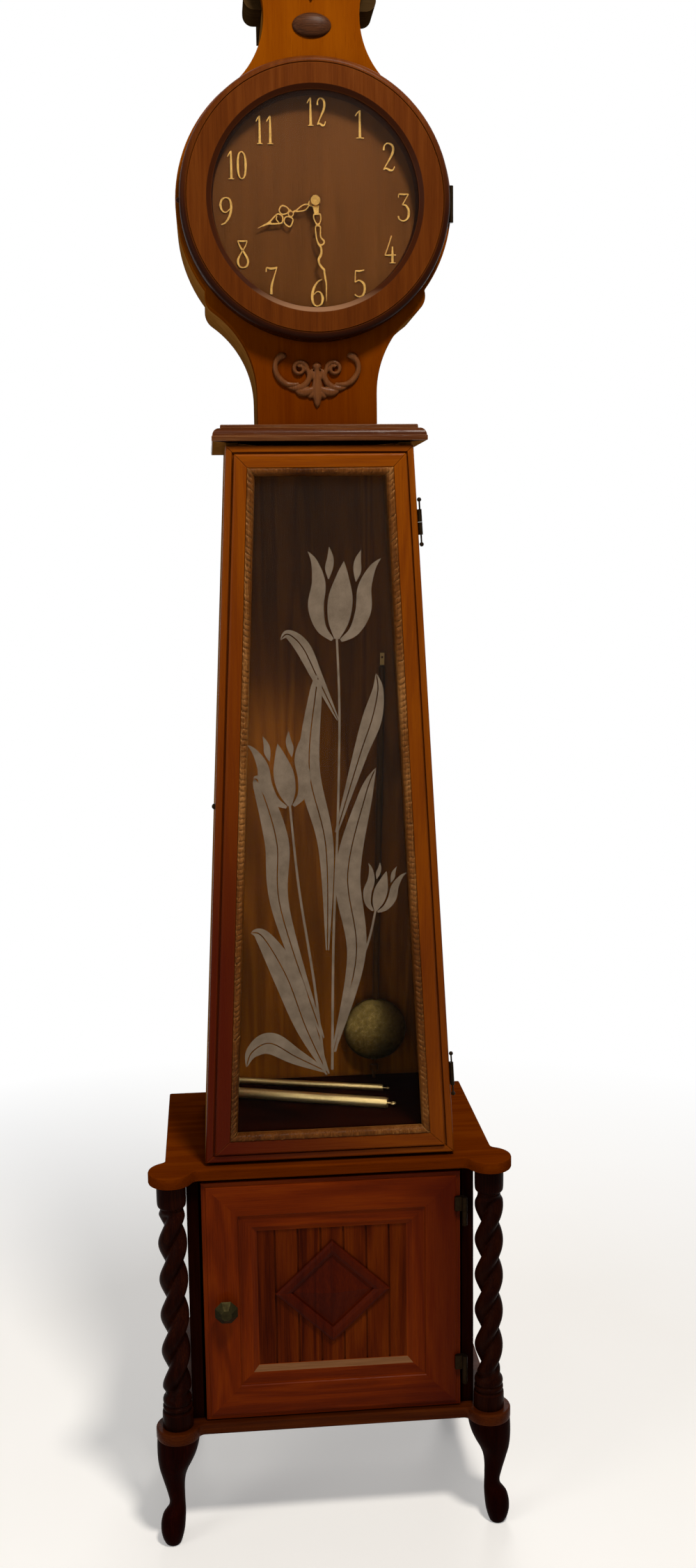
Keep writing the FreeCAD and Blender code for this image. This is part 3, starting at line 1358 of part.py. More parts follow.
# Pendulum standing in the trunk, leaning to the right and against the back.
long = v["pendulum_long"]
back_face = v["trunk_back"] - v["trunk_back_thick"]
lean_back = math.degrees(math.asin((back_face - v["run_gap"] - v["rod_r"] - v["pendulum_y"]) / long))
lift = v["run_gap"] + 0.5 * v["rod_r"] * math.sin(math.radians(v["lean_side"] + lean_back))
tilt_back = Rotation(Vector(1, 0, 0), -lean_back)
tilt_side = Rotation(Vector(0, 1, 0), v["lean_side"])
foot = Vector(v["pendulum_x"], face + v["pendulum_y"], floor_z + lift)
pendulum_place = Placement(foot, tilt_back.multiply(tilt_side))
rod = Part.makeCylinder(v["rod_r"], long - v["hook_long"] - v["bob_up"] - v["bob_r"], Vector(0, 0, v["bob_up"] + v["bob_r"]))
thread = Part.makeCylinder(v["rod_r"] * 0.5, v["bob_up"] + v["bob_r"])
rating = Part.makeCylinder(v["rating_r"], v["rating_tall"], Vector(0, 0, v["rating_up"]))
shank = Part.makeBox(6, 2, v["hook_long"], Vector(-3, -1, long - v["hook_long"]))
shank = shank.cut(Part.makeCylinder(1.6, 4, Vector(0, -2, long - 6), Vector(0, 1, 0)))
pendulum = rod.fuse([thread, rating, shank]).removeSplitter()
pendulum.Placement = pendulum_place
made("pendulum_rod", pendulum)
bob = Part.makeSphere(1)
stretch = FreeCAD.Matrix()
stretch.scale(v["bob_r"], v["bob_half_thick"], v["bob_r"])
bob = bob.transformGeometry(stretch)
bob.translate(Vector(0, 0, v["bob_up"]))
bob = bob.cut(Part.makeCylinder(v["rod_r"] * 0.5, v["bob_up"] + v["bob_r"]))
bob.Placement = pendulum_place
made("pendulum_bob", bob)


# Tube weights lying on the trunk floor, each with an end cap and a hook.
def weight(radius, y, turn):
    half_long = v["weight_long"] / 2
    tube = Part.makeCylinder(radius, 2 * half_long, Vector(-half_long, 0, 0), Vector(1, 0, 0))
    cap = Part.makeCylinder(radius * 0.92, 3, Vector(half_long, 0, 0), Vector(1, 0, 0))
    stem = Part.makeCylinder(radius * 0.16, 8, Vector(half_long, 0, 0), Vector(1, 0, 0))
    eye = Part.makeTorus(radius * 0.42, radius * 0.16, Vector(half_long + 8 + radius * 0.4, 0, 0), Vector(0, 0, 1))
    whole = tube.fuse([cap, stem, eye]).removeSplitter()
    whole.Placement = Placement(Vector(v["weight_x"], face + y, floor_z + radius), Rotation(Vector(0, 0, 1), -turn))
    return whole


big_weight = weight(v["weight_big_r"], v["weight_big_y"], v["weight_turn"])
small_weight = weight(v["weight_small_r"], v["weight_small_y"], v["weight_small_turn"])
made("weights", Part.makeCompound([big_weight, small_weight]))

doc.recompute()
for thing in doc.Objects:
    if "Invalid" in thing.State or "Error" in thing.State:
        raise RuntimeError("faulty object " + thing.Label)
os.makedirs("parts", exist_ok=True)
for thing in nodes:
    if thing.Shape.isNull() or not thing.Shape.isValid():
        raise RuntimeError("faulty shape " + thing.Label)
    if not thing.Shape.Solids:
        raise RuntimeError("no solid in " + thing.Label)
    thing.Shape.exportStep("parts/" + thing.Label + ".step")
print("nodes", len(nodes))
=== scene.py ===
import bpy
import bmesh
from math import atan2, cos, pi, radians, sin, sqrt, tan
from mathutils import Matrix, Vector, noise


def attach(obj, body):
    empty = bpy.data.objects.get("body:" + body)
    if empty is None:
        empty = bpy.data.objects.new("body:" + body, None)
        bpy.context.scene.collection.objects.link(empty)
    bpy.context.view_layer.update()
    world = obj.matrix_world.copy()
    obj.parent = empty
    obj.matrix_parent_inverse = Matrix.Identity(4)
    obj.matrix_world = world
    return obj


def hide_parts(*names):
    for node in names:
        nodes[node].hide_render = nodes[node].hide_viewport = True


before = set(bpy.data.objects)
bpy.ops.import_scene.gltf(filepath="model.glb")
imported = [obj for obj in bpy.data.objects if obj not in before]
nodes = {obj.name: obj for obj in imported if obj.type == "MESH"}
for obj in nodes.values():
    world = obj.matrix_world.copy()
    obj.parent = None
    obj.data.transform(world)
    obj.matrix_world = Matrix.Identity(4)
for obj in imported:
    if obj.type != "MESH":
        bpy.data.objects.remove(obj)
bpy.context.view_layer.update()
scene = bpy.context.scene
scene.view_settings.view_transform = "Standard"
mm = 0.001
dialCentre = 1771


# small helpers for node trees

def cleared(owner):
    owner.use_nodes = True
    owner.node_tree.nodes.clear()
    return owner.node_tree


def newMaterial(name):
    material = bpy.data.materials.new(name)
    return material, cleared(material)


def setAll(item, settings):
    for key, value in settings.items():
        setattr(item, key, value)
    return item


def put(tree, kind, **settings):
    return setAll(tree.nodes.new(kind), settings)


def feed(tree, socket, value):
    if isinstance(value, bpy.types.NodeSocket):
        tree.links.new(value, socket)
    else:
        socket.default_value = value


def sums(tree, operation, first, second=0.0, third=0.0):
    node = put(tree, "ShaderNodeMath", operation=operation)
    for socket, value in zip(node.inputs, (first, second, third)):
        feed(tree, socket, value)
    return node.outputs[0]


def times(tree, first, second):
    return sums(tree, "MULTIPLY", first, second)


def remap(tree, value, low, high, toLow=0.0, toHigh=1.0):
    node = put(tree, "ShaderNodeMapRange")
    for socket, given in zip(node.inputs, (value, low, high, toLow, toHigh)):
        feed(tree, socket, given)
    return node.outputs[0]


def tint(tree, share, first, second):
    node = put(tree, "ShaderNodeMix", data_type="RGBA")
    feed(tree, node.inputs[0], share)
    for socket, value in zip(node.inputs[6:8], (first, second)):
        feed(tree, socket, value if isinstance(value, bpy.types.NodeSocket) else (*value, 1))
    return node.outputs[2]


def cloud(tree, place, scale, detail, rough=0.5, bend=0.0):
    node = put(tree, "ShaderNodeTexNoise")
    feed(tree, node.inputs["Vector"], place)
    for key, value in (("Scale", scale), ("Detail", detail), ("Roughness", rough), ("Distortion", bend)):
        node.inputs[key].default_value = value
    return node.outputs[0]


def objectPlace(tree):
    return put(tree, "ShaderNodeTexCoord").outputs["Object"]


def axes(tree, vector):
    node = put(tree, "ShaderNodeSeparateXYZ")
    tree.links.new(vector, node.inputs[0])
    return node.outputs


def distance(tree, vector):
    node = put(tree, "ShaderNodeVectorMath", operation="LENGTH")
    tree.links.new(vector, node.inputs[0])
    return node.outputs["Value"]


def stretched(tree, along, across, grain):
    mapping = put(tree, "ShaderNodeMapping")
    tree.links.new(objectPlace(tree), mapping.inputs["Vector"])
    mapping.inputs["Scale"].default_value = [along if axis == grain else across for axis in "xyz"]
    return mapping.outputs[0]


def edgeMask(tree, reach):
    bevel = put(tree, "ShaderNodeBevel", samples=4)
    bevel.inputs["Radius"].default_value = reach
    shape = put(tree, "ShaderNodeNewGeometry")
    dot = put(tree, "ShaderNodeVectorMath", operation="DOT_PRODUCT")
    tree.links.new(bevel.outputs[0], dot.inputs[0])
    tree.links.new(shape.outputs["Normal"], dot.inputs[1])
    return remap(tree, dot.outputs["Value"], 0.995, 0.82)


def crevice(tree, reach):
    hollow = put(tree, "ShaderNodeAmbientOcclusion", samples=6)
    hollow.inputs["Distance"].default_value = reach
    return hollow.outputs["AO"]


def principled(tree, **values):
    shader = put(tree, "ShaderNodeBsdfPrincipled")
    for key, value in values.items():
        if isinstance(value, tuple):
            value = (*value, 1)
        feed(tree, shader.inputs[key], value)
    return shader.outputs[0]


def mixed(tree, share, first, second):
    mix = put(tree, "ShaderNodeMixShader")
    for socket, value in zip(mix.inputs, (share, first, second)):
        tree.links.new(value, socket)
    return mix.outputs[0]


def show(tree, shader, kind="ShaderNodeOutputMaterial"):
    tree.links.new(shader, put(tree, kind).inputs["Surface"])


def bumped(tree, height, depth, strength):
    bump = put(tree, "ShaderNodeBump")
    bump.inputs["Strength"].default_value = strength
    bump.inputs["Distance"].default_value = depth
    tree.links.new(height, bump.inputs["Height"])
    return bump.outputs[0]


# woods: three tones of one board, then what differs from a plain one in its figure, gloss and worn edges
# (wear and painted highlights)
plainBoard = {"figure": 0.4, "fibre": 0.5, "blotch": 0.5, "rough": 0.4, "shine": 0, "worn": 0.3}


def board(dark, mid, light, **more):
    return {"dark": dark, "mid": mid, "light": light, **plainBoard, **more}


woods = {
    "case": board((0.095, 0.0165, 0.0004), (0.172, 0.037, 0.0006), (0.245, 0.062, 0.001), figure=0.3,
                  fibre=0.35, rough=0.3, shine=0.04, worn=0.35, stain=(0.95, 0.17, -0.14, 1.46, 0.82)),
    "neck": board((0.082, 0.014, 0.0003), (0.15, 0.0325, 0.0005), (0.22, 0.056, 0.0009), figure=0.22,
                  fibre=0.22, blotch=0.8, worn=0.45, stain=(0.38, 0.5, 0.3, 1.69, 1.57)),
    "cornice": board((0.036, 0.008, 0.0012), (0.06, 0.014, 0.002), (0.15, 0.06, 0.019), figure=0.5,
                     blotch=0.6, rough=0.22, shine=0.06, worn=0.9),
    "base": board((0.056, 0.0056, 0.0002), (0.112, 0.013, 0.0002), (0.18, 0.028, 0.0004), figure=0.5,
                  fibre=0.45, blotch=0.6, rough=0.32, shine=0.03, worn=0.35,
                  stain=(0.7, 0.09, 0.16, 0.6, 0.55)),
    # bevel at the foot of the cupboard door's sight: lighter tone as a painted highlight where it faces up
    "sillHighlight": board((0.1, 0.039, 0.014), (0.155, 0.068, 0.027), (0.215, 0.1, 0.043), fibre=0.6, blotch=0.9,
                  rough=0.32, shine=0.03, worn=0.2),
    "plinth": board((0.024, 0.0038, 0.0005), (0.047, 0.0085, 0.0008), (0.085, 0.019, 0.0024), fibre=0.45,
                    blotch=0.6, rough=0.3, shine=0.02, worn=0.6),
    "top": board((0.056, 0.008, 0.0002), (0.1, 0.0165, 0.0003), (0.15, 0.031, 0.0007), fibre=0.4, worn=0.5),
    "panel": board((0.028, 0.0028, 0.0003), (0.074, 0.0095, 0.0004), (0.122, 0.021, 0.0006), figure=0.75,
                   blotch=0.6, shine=0.02),
    "diamond": board((0.024, 0.002, 0.0003), (0.043, 0.0038, 0.0004), (0.07, 0.0078, 0.0006), figure=0.5,
                     rough=0.34, shine=0.03, worn=0.7),
    "dark": board((0.0042, 0.0007, 0.0003), (0.011, 0.0017, 0.0005), (0.032, 0.0072, 0.002), fibre=0.6,
                  blotch=1, rough=0.32, shine=0.012, worn=0.55, stain=(0.5, 0, 0.1, 0.6, 0.55)),
    "leg": board((0.0042, 0.0004, 0.0002), (0.01, 0.0009, 0.0003), (0.022, 0.003, 0.0008), fibre=0.6,
                 blotch=0.8, rough=0.36, shine=0.006, worn=0.45, stain=(0.6, 0, 0.1, 0.6, 0.55)),
    "bezel": board((0.05, 0.01, 0.0008), (0.082, 0.0185, 0.0017), (0.12, 0.031, 0.0034), figure=0.35,
                   fibre=0.45, rough=0.32, shine=0.03, worn=0.5, rim=(0.03, 0.0065, 0.0012), rimFrom=0.1345,
                   rimTo=0.1337, glint=(0.19, 0.095, 0.048), skirt=(0.02, 0.004, 0.0008), skirtFrom=0.1575,
                   skirtTo=0.1595),
    "dial": board((0.052, 0.0175, 0.0034), (0.078, 0.0275, 0.006), (0.104, 0.04, 0.0098), figure=0.25,
                  fibre=0.55, blotch=0.35, rough=0.55, shine=0.02, worn=0, rim=(0.02, 0.0045, 0.001),
                  rimFrom=0.1255, rimTo=0.1262),
    # inside boards: tones raised as painted light inside the case
    "inner": board((0.112, 0.035, 0.0022), (0.196, 0.061, 0.004), (0.28, 0.093, 0.0066), figure=0.6,
                   blotch=0.9, rough=0.65, shine=0.02, worn=0.1),
    # side boards and the cornice's ends: lighter tones as painted light, for light from the left
    "side": board((0.138, 0.052, 0.0095), (0.226, 0.094, 0.018), (0.305, 0.134, 0.029), figure=0.35,
                  fibre=0.4, rough=0.5),
    # head cap: dark tones as painted shade
    "cap": board((0.02, 0.01, 0.003), (0.042, 0.023, 0.008), (0.07, 0.04, 0.015), figure=0.35, fibre=0.4,
                 rough=0.5, worn=0.4),
    "shade": board((0.004, 0.0006, 0.0003), (0.008, 0.0012, 0.0004), (0.016, 0.003, 0.0007), fibre=0.4,
                   rough=0.5, worn=0.2),
    "bead": board((0.03, 0.0075, 0.001), (0.115, 0.036, 0.006), (0.33, 0.15, 0.042), figure=0.2, blotch=1,
                  rough=0.36, shine=0.04, worn=1),
    "carving": board((0.056, 0.015, 0.003), (0.112, 0.037, 0.01), (0.17, 0.068, 0.023), figure=0.2, fibre=0.4,
                     blotch=0.6, rough=0.3, shine=0.06, worn=0.7),
    "boss": board((0.026, 0.0085, 0.0028), (0.054, 0.018, 0.006), (0.1, 0.038, 0.014), figure=0.2, fibre=0.9,
                  blotch=1, shine=0.06),
    "rod": board((0.04, 0.015, 0.003), (0.075, 0.03, 0.0065), (0.12, 0.05, 0.012), figure=0.2, rough=0.45,
                 shine=0.02, worn=0, ferrule=(0.82, 0.58, 0.24), sleeve=0.017),
}
grainSizes = {"figureAlong": 1.3, "figureAcross": 17, "rings": 46, "fibreAlong": 16, "fibreAcross": 700,
              "poreAlong": 45, "poreAcross": 1500, "poreFrom": 0.6, "poreTo": 0.74, "poreTone": 0.35,
              "blotchAlong": 1.8, "blotchAcross": 4.5, "bump": 0.00025, "bumpShare": 0.35,
              "edgeReach": 0.0022, "hollowReach": 0.012, "dustAndShade": 0.35, "darkAt": 0.12, "lightAt": 0.92,
              "stained": (0.62, 0.24, 0.3), "gains": {"figure": 0.55, "fibre": 1.5, "blotch": 1.6}}
madeWoods = {}


def woodTone(tree, w, g, rings, fibre, slow, pore):
    tone = 0.5
    for grain, (key, gain) in zip((rings, fibre, slow), g["gains"].items()):
        tone = sums(tree, "MULTIPLY_ADD", sums(tree, "SUBTRACT", grain, 0.5), w[key] * gain, tone)
    ramp = put(tree, "ShaderNodeValToRGB")
    tree.links.new(tone, ramp.inputs[0])
    stops = ramp.color_ramp.elements
    stops[0].position, stops[1].position = g["darkAt"], g["lightAt"]
    stops.new(0.5)
    for stop, name in zip(stops, ("dark", "mid", "light")):
        stop.color = (*w[name], 1)
    colour = tint(tree, times(tree, pore, g["poreTone"]), ramp.outputs[0], w["dark"])
    # dirt and painted shade: darker in crevices, found by ambient occlusion
    hollow = remap(tree, crevice(tree, g["hollowReach"]), 0.75, 0.1, 0, 0.75)
    return tint(tree, hollow, colour, tuple(c * g["dustAndShade"] for c in w["dark"]))


# painted shade: a dark turned rim round the dial, on the plate and on the bezel, where the recess lies in
# shade
def dialRim(tree, w, colour):
    spot = put(tree, "ShaderNodeVectorMath", operation="MULTIPLY_ADD")
    tree.links.new(objectPlace(tree), spot.inputs[0])
    spot.inputs[1].default_value = (1, 0, 1)
    spot.inputs[2].default_value = (0, 0, -dialCentre * mm)
    away = distance(tree, spot.outputs[0])
    rim = w["rim"]
    if "glint" in w:  # painted highlight at the foot of the sight edge, painted shade round the lower outer edge
        level = axes(tree, spot.outputs[0])["Z"]
        rim = tint(tree, remap(tree, level, -0.105, -0.130), rim, w["glint"])
        skirt = remap(tree, away, w["skirtFrom"], w["skirtTo"])
        skirt = times(tree, skirt, remap(tree, level, 0.10, -0.02))
        colour = tint(tree, skirt, colour, w["skirt"])
    return tint(tree, remap(tree, away, w["rimFrom"], w["rimTo"]), colour, rim)


def wood(finish, grain="z"):
    key = finish + "_wood_" + grain
    if key in madeWoods:
        return madeWoods[key]
    w, g = woods[finish], grainSizes
    material, tree = newMaterial(key)
    rings = cloud(tree, stretched(tree, g["figureAlong"], g["figureAcross"], grain), 1.0, 3, 0.45, 0.35)
    rings = remap(tree, sums(tree, "SINE", times(tree, rings, g["rings"])), -1, 1)
    fibre = cloud(tree, stretched(tree, g["fibreAlong"], g["fibreAcross"], grain), 1.0, 3, 0.6)
    pore = cloud(tree, stretched(tree, g["poreAlong"], g["poreAcross"], grain), 1.0, 1, 0.5)
    pore = remap(tree, pore, g["poreFrom"], g["poreTo"])
    slow = cloud(tree, stretched(tree, g["blotchAlong"], g["blotchAcross"], grain), 1.0, 3, 0.55)
    colour = woodTone(tree, w, g, rings, fibre, slow, pore)
    if "stain" in w:  # painted shade, deeper low down: on the case to the left, on the base, columns and legs to the right, on the neck under the bezel
        share, xFrom, xTo, zFrom, zTo = w["stain"]
        spot = axes(tree, objectPlace(tree))
        shadeShare = times(tree, remap(tree, spot["X"], xFrom, xTo), remap(tree, spot["Z"], zFrom, zTo))
        stained = tuple(c * part for c, part in zip(w["dark"], g["stained"]))
        colour = tint(tree, times(tree, shadeShare, share), colour, stained)
    if "ferrule" in w:  # brass sleeve on the rod's top end
        top = max(v.co.z for v in nodes["pendulum_rod"].data.vertices) - w["sleeve"]
        level = axes(tree, objectPlace(tree))["Z"]
        colour = tint(tree, remap(tree, level, top - 0.0004, top), colour, w["ferrule"])
    if "rim" in w:
        colour = dialRim(tree, w, colour)
    # edges lightened: wear, and painted highlights along edges and raised parts
    if w["worn"]:
        wearAndHighlight = times(tree, edgeMask(tree, g["edgeReach"]), remap(tree, slow, 0.35, 0.65, 0.3, 1))
        wearAndHighlightTone = tuple(min(1, c * 1.5) for c in w["light"])
        colour = tint(tree, times(tree, wearAndHighlight, w["worn"]), colour, wearAndHighlightTone)
    gloss = remap(tree, sums(tree, "ADD", fibre, slow), 0.7, 1.3, w["rough"] - 0.07, w["rough"] + 0.10)
    height = sums(tree, "SUBTRACT", times(tree, fibre, 0.5), pore)
    show(tree, principled(tree, **{"Base Color": colour, "Roughness": gloss, "Specular IOR Level": w["shine"],
                                   "Normal": bumped(tree, height, g["bump"], g["bumpShare"])}))
    madeWoods[key] = material
    return material


# metals: clean and tarnished tones
metals = {
    "brass": {"clean": (0.66, 0.40, 0.115), "dull": (0.26, 0.14, 0.036), "rough": 0.24, "share": 0.75},
    "bobBrass": {"clean": (0.17, 0.120, 0.036), "dull": (0.060, 0.040, 0.011), "rough": 0.32, "share": 0.7},
    "darkBrass": {"clean": (0.014, 0.008, 0.0035), "dull": (0.006, 0.003, 0.0015), "rough": 0.55,
                  "share": 0.6},
    "bronze": {"clean": (0.024, 0.019, 0.007), "dull": (0.008, 0.006, 0.003), "rough": 0.50, "share": 0.6},
    "tubeBrass": {"clean": (0.85, 0.68, 0.35), "dull": (0.54, 0.39, 0.16), "rough": 0.36, "share": 0.3},
    "steel": {"clean": (0.50, 0.49, 0.47), "dull": (0.25, 0.23, 0.21), "rough": 0.32, "share": 0.4},
}
metalGrain = {"patch": 160, "fine": 1400, "hollowReach": 0.004, "bump": 0.0002, "bumpShare": 0.2}


def metal(finish):
    m, g = metals[finish], metalGrain
    material, tree = newMaterial(finish + "_metal")
    coords = objectPlace(tree)
    patch = cloud(tree, coords, g["patch"], 4, 0.6)
    fine = cloud(tree, coords, g["fine"], 2, 0.5)
    tarnish = times(tree, remap(tree, patch, 0.38, 0.70), m["share"])
    hollow = remap(tree, crevice(tree, g["hollowReach"]), 0.8, 0.2, 0, 0.6)
    colour = tint(tree, sums(tree, "MAXIMUM", tarnish, hollow), m["clean"], m["dull"])
    gloss = remap(tree, sums(tree, "ADD", patch, fine), 0.7, 1.3, m["rough"] - 0.08, m["rough"] + 0.14)
    height = sums(tree, "ADD", patch, times(tree, fine, 0.3))
    show(tree, principled(tree, **{"Base Color": colour, "Roughness": gloss, "Metallic": 1.0,
                                   "Normal": bumped(tree, height, g["bump"], g["bumpShare"])}))
    return material


madeMetals = {finish: metal(finish) for finish in metals}
print("metals ready:", len(madeMetals))


# clear panes let the lamps through, so that what is behind them stays lit; a faint pale film on them, haze
# and a painted reflection of the room, thins out to the foot
panes = {"trunk_pane": {"tone": (0.97, 0.93, 0.85), "hazeAndReflection": 0.003, "foot": 0.66, "top": 1.05},
         "dial_pane": {"tone": (0.98, 0.95, 0.90), "hazeAndReflection": 0.003, "foot": 1.62, "top": 1.90}}


def pane(name):
    look = panes[name]
    material, tree = newMaterial(name)
    coords = objectPlace(tree)
    film = remap(tree, axes(tree, coords)["Z"], look["foot"], look["top"], 0, look["hazeAndReflection"])
    smear = remap(tree, cloud(tree, coords, 9, 4, 0.6), 0.45, 0.75, 0, 0.06)
    ripple = bumped(tree, cloud(tree, coords, 14, 2, 0.5), 0.0004, 0.05)
    clear = sums(tree, "SUBTRACT", 1, film)
    glass = principled(tree, **{"Base Color": look["tone"], "Transmission Weight": clear, "IOR": 1.06,
                                "Roughness": smear, "Normal": ripple})
    through = put(tree, "ShaderNodeBsdfTransparent")
    through.inputs[0].default_value = (0.9, 0.9, 0.88, 1)
    shadow = put(tree, "ShaderNodeLightPath").outputs["Is Shadow Ray"]
    show(tree, mixed(tree, shadow, glass, through.outputs[0]))
    return material


# which finish each CAD piece takes
finishes = {
    "case": ["trunk_door_stiles"],
    "case x": ["trunk_door_rails"],
    "neck": ["head_front_board"],
    "side": ["trunk_sides", "head_sides"],
    "cap x": ["head_cap"],
    "shade": ["base_sides"],
    "shade x": ["base_top_rail", "trunk_floor"],
    "top x": ["base_top_board"],
    "plinth x": ["base_bottom_board"],
    "panel": ["base_door_panel"],
    "diamond": ["base_door_diamond"],
    "bezel": ["bezel_ring", "bezel_catch"],
    "dial": ["dial"],
    "inner": ["trunk_back_board", "head_back_board", "base_back"],
    "inner x": ["seat_board"],
    "boss x": ["head_boss"],
    "rod": ["pendulum_rod"],
}
metalPieces = {
    "brass": ["hand_nut", "movement_plates", "movement_pillars", "great_wheel", "third_wheel", "escape_wheel",
              "centre_arbor", "cannon_pinion", "minute_wheel", "hour_wheel"],
    "darkBrass": ["trunk_door_hinges", "trunk_door_latch", "bezel_hinge", "case_hinges", "base_door_hinges"],
    "bobBrass": ["pendulum_bob"],
    "tubeBrass": ["weights"],
    "bronze": ["base_door_knob"],
    "steel": ["suspension_cock", "anchor", "pendulum_leader"],
}


def coat(piece, material):
    piece.data.materials.clear()
    piece.data.materials.append(material)


for key, pieces in finishes.items():
    for piece in pieces:
        coat(nodes[piece], wood(*key.split()))
for finish, pieces in metalPieces.items():
    for piece in pieces:
        coat(nodes[piece], madeMetals[finish])
coat(nodes["trunk_door_glass"], pane("trunk_pane"))
coat(nodes["bezel_glass"], pane("dial_pane"))
print("CAD pieces coated")


# building blocks for the new pieces

def stand(name, data):
    item = bpy.data.objects.new(name, data)
    scene.collection.objects.link(item)
    return item


def work(piece, name, kind, **settings):
    setAll(piece.modifiers.new(name, kind), settings)


def addPiece(name, bm, material, body, stands=(), flat=False, crease=48):
    bmesh.ops.recalc_face_normals(bm, faces=bm.faces)
    mesh = bpy.data.meshes.new(name)
    bm.to_mesh(mesh)
    bm.free()
    mesh.materials.append(material)
    if not flat:
        mesh.shade_smooth()
        mesh.set_sharp_from_angle(angle=radians(crease))
    piece = stand(name, mesh)
    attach(piece, body)
    if stands:
        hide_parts(*stands)
    return piece


# a smooth line through the points, in so many steps from each to the next
def flow(points, steps, closed=False):
    count = len(points)
    result = []
    for i in range(count if closed else count - 1):
        near = [(i + k) % count if closed else min(max(i + k, 0), count - 1) for k in (-1, 0, 1, 2)]
        for step in range(steps):
            t = step / steps
            result.append(tuple(
                0.5 * (2 * q + (r - p) * t + (2 * p - 5 * q + 4 * r - s) * t * t
                       + (3 * q - p - 3 * r + s) * t ** 3)
                for p, q, r, s in zip(*(points[k] for k in near))))
    if not closed:
        result.append(tuple(points[-1]))
    return result


flatSection = ((-1, 0), (-1, 0.75), (-0.7, 1), (0.7, 1), (1, 0.75), (1, 0))
filmSection = ((-1, 0), (-1, 1), (1, 1), (1, 0))
domeAngles = [pi * k / 10 - pi / 2 for k in range(11)]
domeSection = tuple((sin(a), max(0, cos(a)) ** 0.8) for a in domeAngles)
thinnest = 0.04


def bridge(bm, one, two):
    width = len(one)
    return [bm.faces.new((one[k], one[(k + 1) % width], two[(k + 1) % width], two[k])) for k in range(width)]


def around(bm, loops):
    return [bridge(bm, one, two) for one, two in zip(loops, loops[1:] + loops[:1])]


def loft(bm, rows):
    for one, two in zip(rows, rows[1:]):
        bridge(bm, one, two)
    bm.faces.new(rows[0])
    bm.faces.new(rows[-1])


# a strip that follows (x, z, half width, height) on a face at depth y, all in mm
def sweep(bm, line, depth, section, sink, closed=False):
    rows = []
    count = len(line)
    for i, (x, z, half, rise) in enumerate(line):
        before = line[(i - 1) % count] if closed or i else line[i]
        after = line[(i + 1) % count] if closed or i + 1 < count else line[i]
        run = Vector((after[0] - before[0], after[1] - before[1]))
        if run.length < 1e-9:
            run = Vector((0, 1))
        run.normalize()
        half, rise = max(half, thinnest), max(rise, thinnest)
        row = []
        for side, up in section:
            y = depth + sink if up == 0 else depth - rise * up
            row.append(bm.verts.new(((x - run.y * side * half) * mm, y * mm, (z + run.x * side * half) * mm)))
        rows.append(row)
    (around if closed else loft)(bm, rows)


def ringed(bm, rings):
    loft(bm, [[bm.verts.new(Vector(point) * mm) for point in ring] for ring in rings])


# where a CAD piece lies, in mm
def spots(name):
    return [v.co / mm for v in nodes[name].data.vertices]


def span(points, axis):
    values = [point[axis] for point in points]
    return min(values), max(values)


def between(table, level):
    for low, high in zip(table, table[1:]):
        if low[0] <= level <= high[0]:
            share = (level - low[0]) / (high[0] - low[0])
            return [p + (q - p) * share for p, q in zip(low, high)]
    return list(table[0] if level < table[0][0] else table[-1])


# twisted columns
columnLook = {
    "x": 214, "y": -131.5, "low": 171.5, "high": 519, "lead": 102.2, "bulge": {-1: 228.2, 1: 263.5},
    "strand": 11.9, "offset": 7.5, "core": 15.5, "twistLow": 218.5, "twistHigh": 481, "fade": 10, "step": 1.6,
    "sides": 48,
    "turned": ((0, 20.6), (1.5, 21), (20, 20.8), (22.4, 19.6), (23.6, 17.8), (25, 17.6), (26.4, 19.4),
               (28.6, 20), (30.8, 19.6), (32, 17.8), (33.2, 17.6), (34.8, 19), (38, 19.6), (42, 18.8),
               (47, 15.5)),
    "capital": ((0, 19.2), (1.5, 19.6), (20, 19.6), (28, 19.4), (32, 18.8), (34, 17.2), (35.4, 15.2),
                (36.6, 14.8), (38, 15.5)),
}


def columnPiece(name, side):
    c = columnLook
    foot = flow([(c["low"] + rise, radius) for rise, radius in c["turned"]], 4)
    top = flow([(c["high"] - drop, radius) for drop, radius in reversed(c["capital"])], 4)
    levels = [row[0] for row in foot]
    level = c["twistLow"] + c["step"]
    while level < c["twistHigh"]:
        levels.append(level)
        level += c["step"]
    levels += [row[0] for row in top]
    rings = []
    for level in levels:
        turn = 2 * pi * (level - c["bulge"][side]) / c["lead"]
        ends = min(1, max(0, min(level - c["twistLow"], c["twistHigh"] - level) / c["fade"]))
        ends = ends * ends * (3 - 2 * ends)
        plain = between(foot, level)[1] if level <= c["twistLow"] + c["fade"] else between(top, level)[1]
        if c["twistLow"] < level < c["twistHigh"]:
            plain = c["core"]
        ring = []
        for k in range(c["sides"]):
            angle = 2 * pi * k / c["sides"]
            lean = angle - turn
            inside = c["strand"] ** 2 - (c["offset"] * sin(lean)) ** 2
            rope = c["offset"] * abs(cos(lean)) + sqrt(inside)
            radius = plain + (rope - plain) * ends
            ring.append((side * c["x"] + radius * cos(angle), c["y"] + radius * sin(angle), level))
        rings.append(ring)
    bm = bmesh.new()
    ringed(bm, rings)
    addPiece(name, bm, wood("dark"), "case", (name.replace("twist_", ""),))


columnPiece("twist_column_left", -1)
columnPiece("twist_column_right", 1)
print("columns turned")


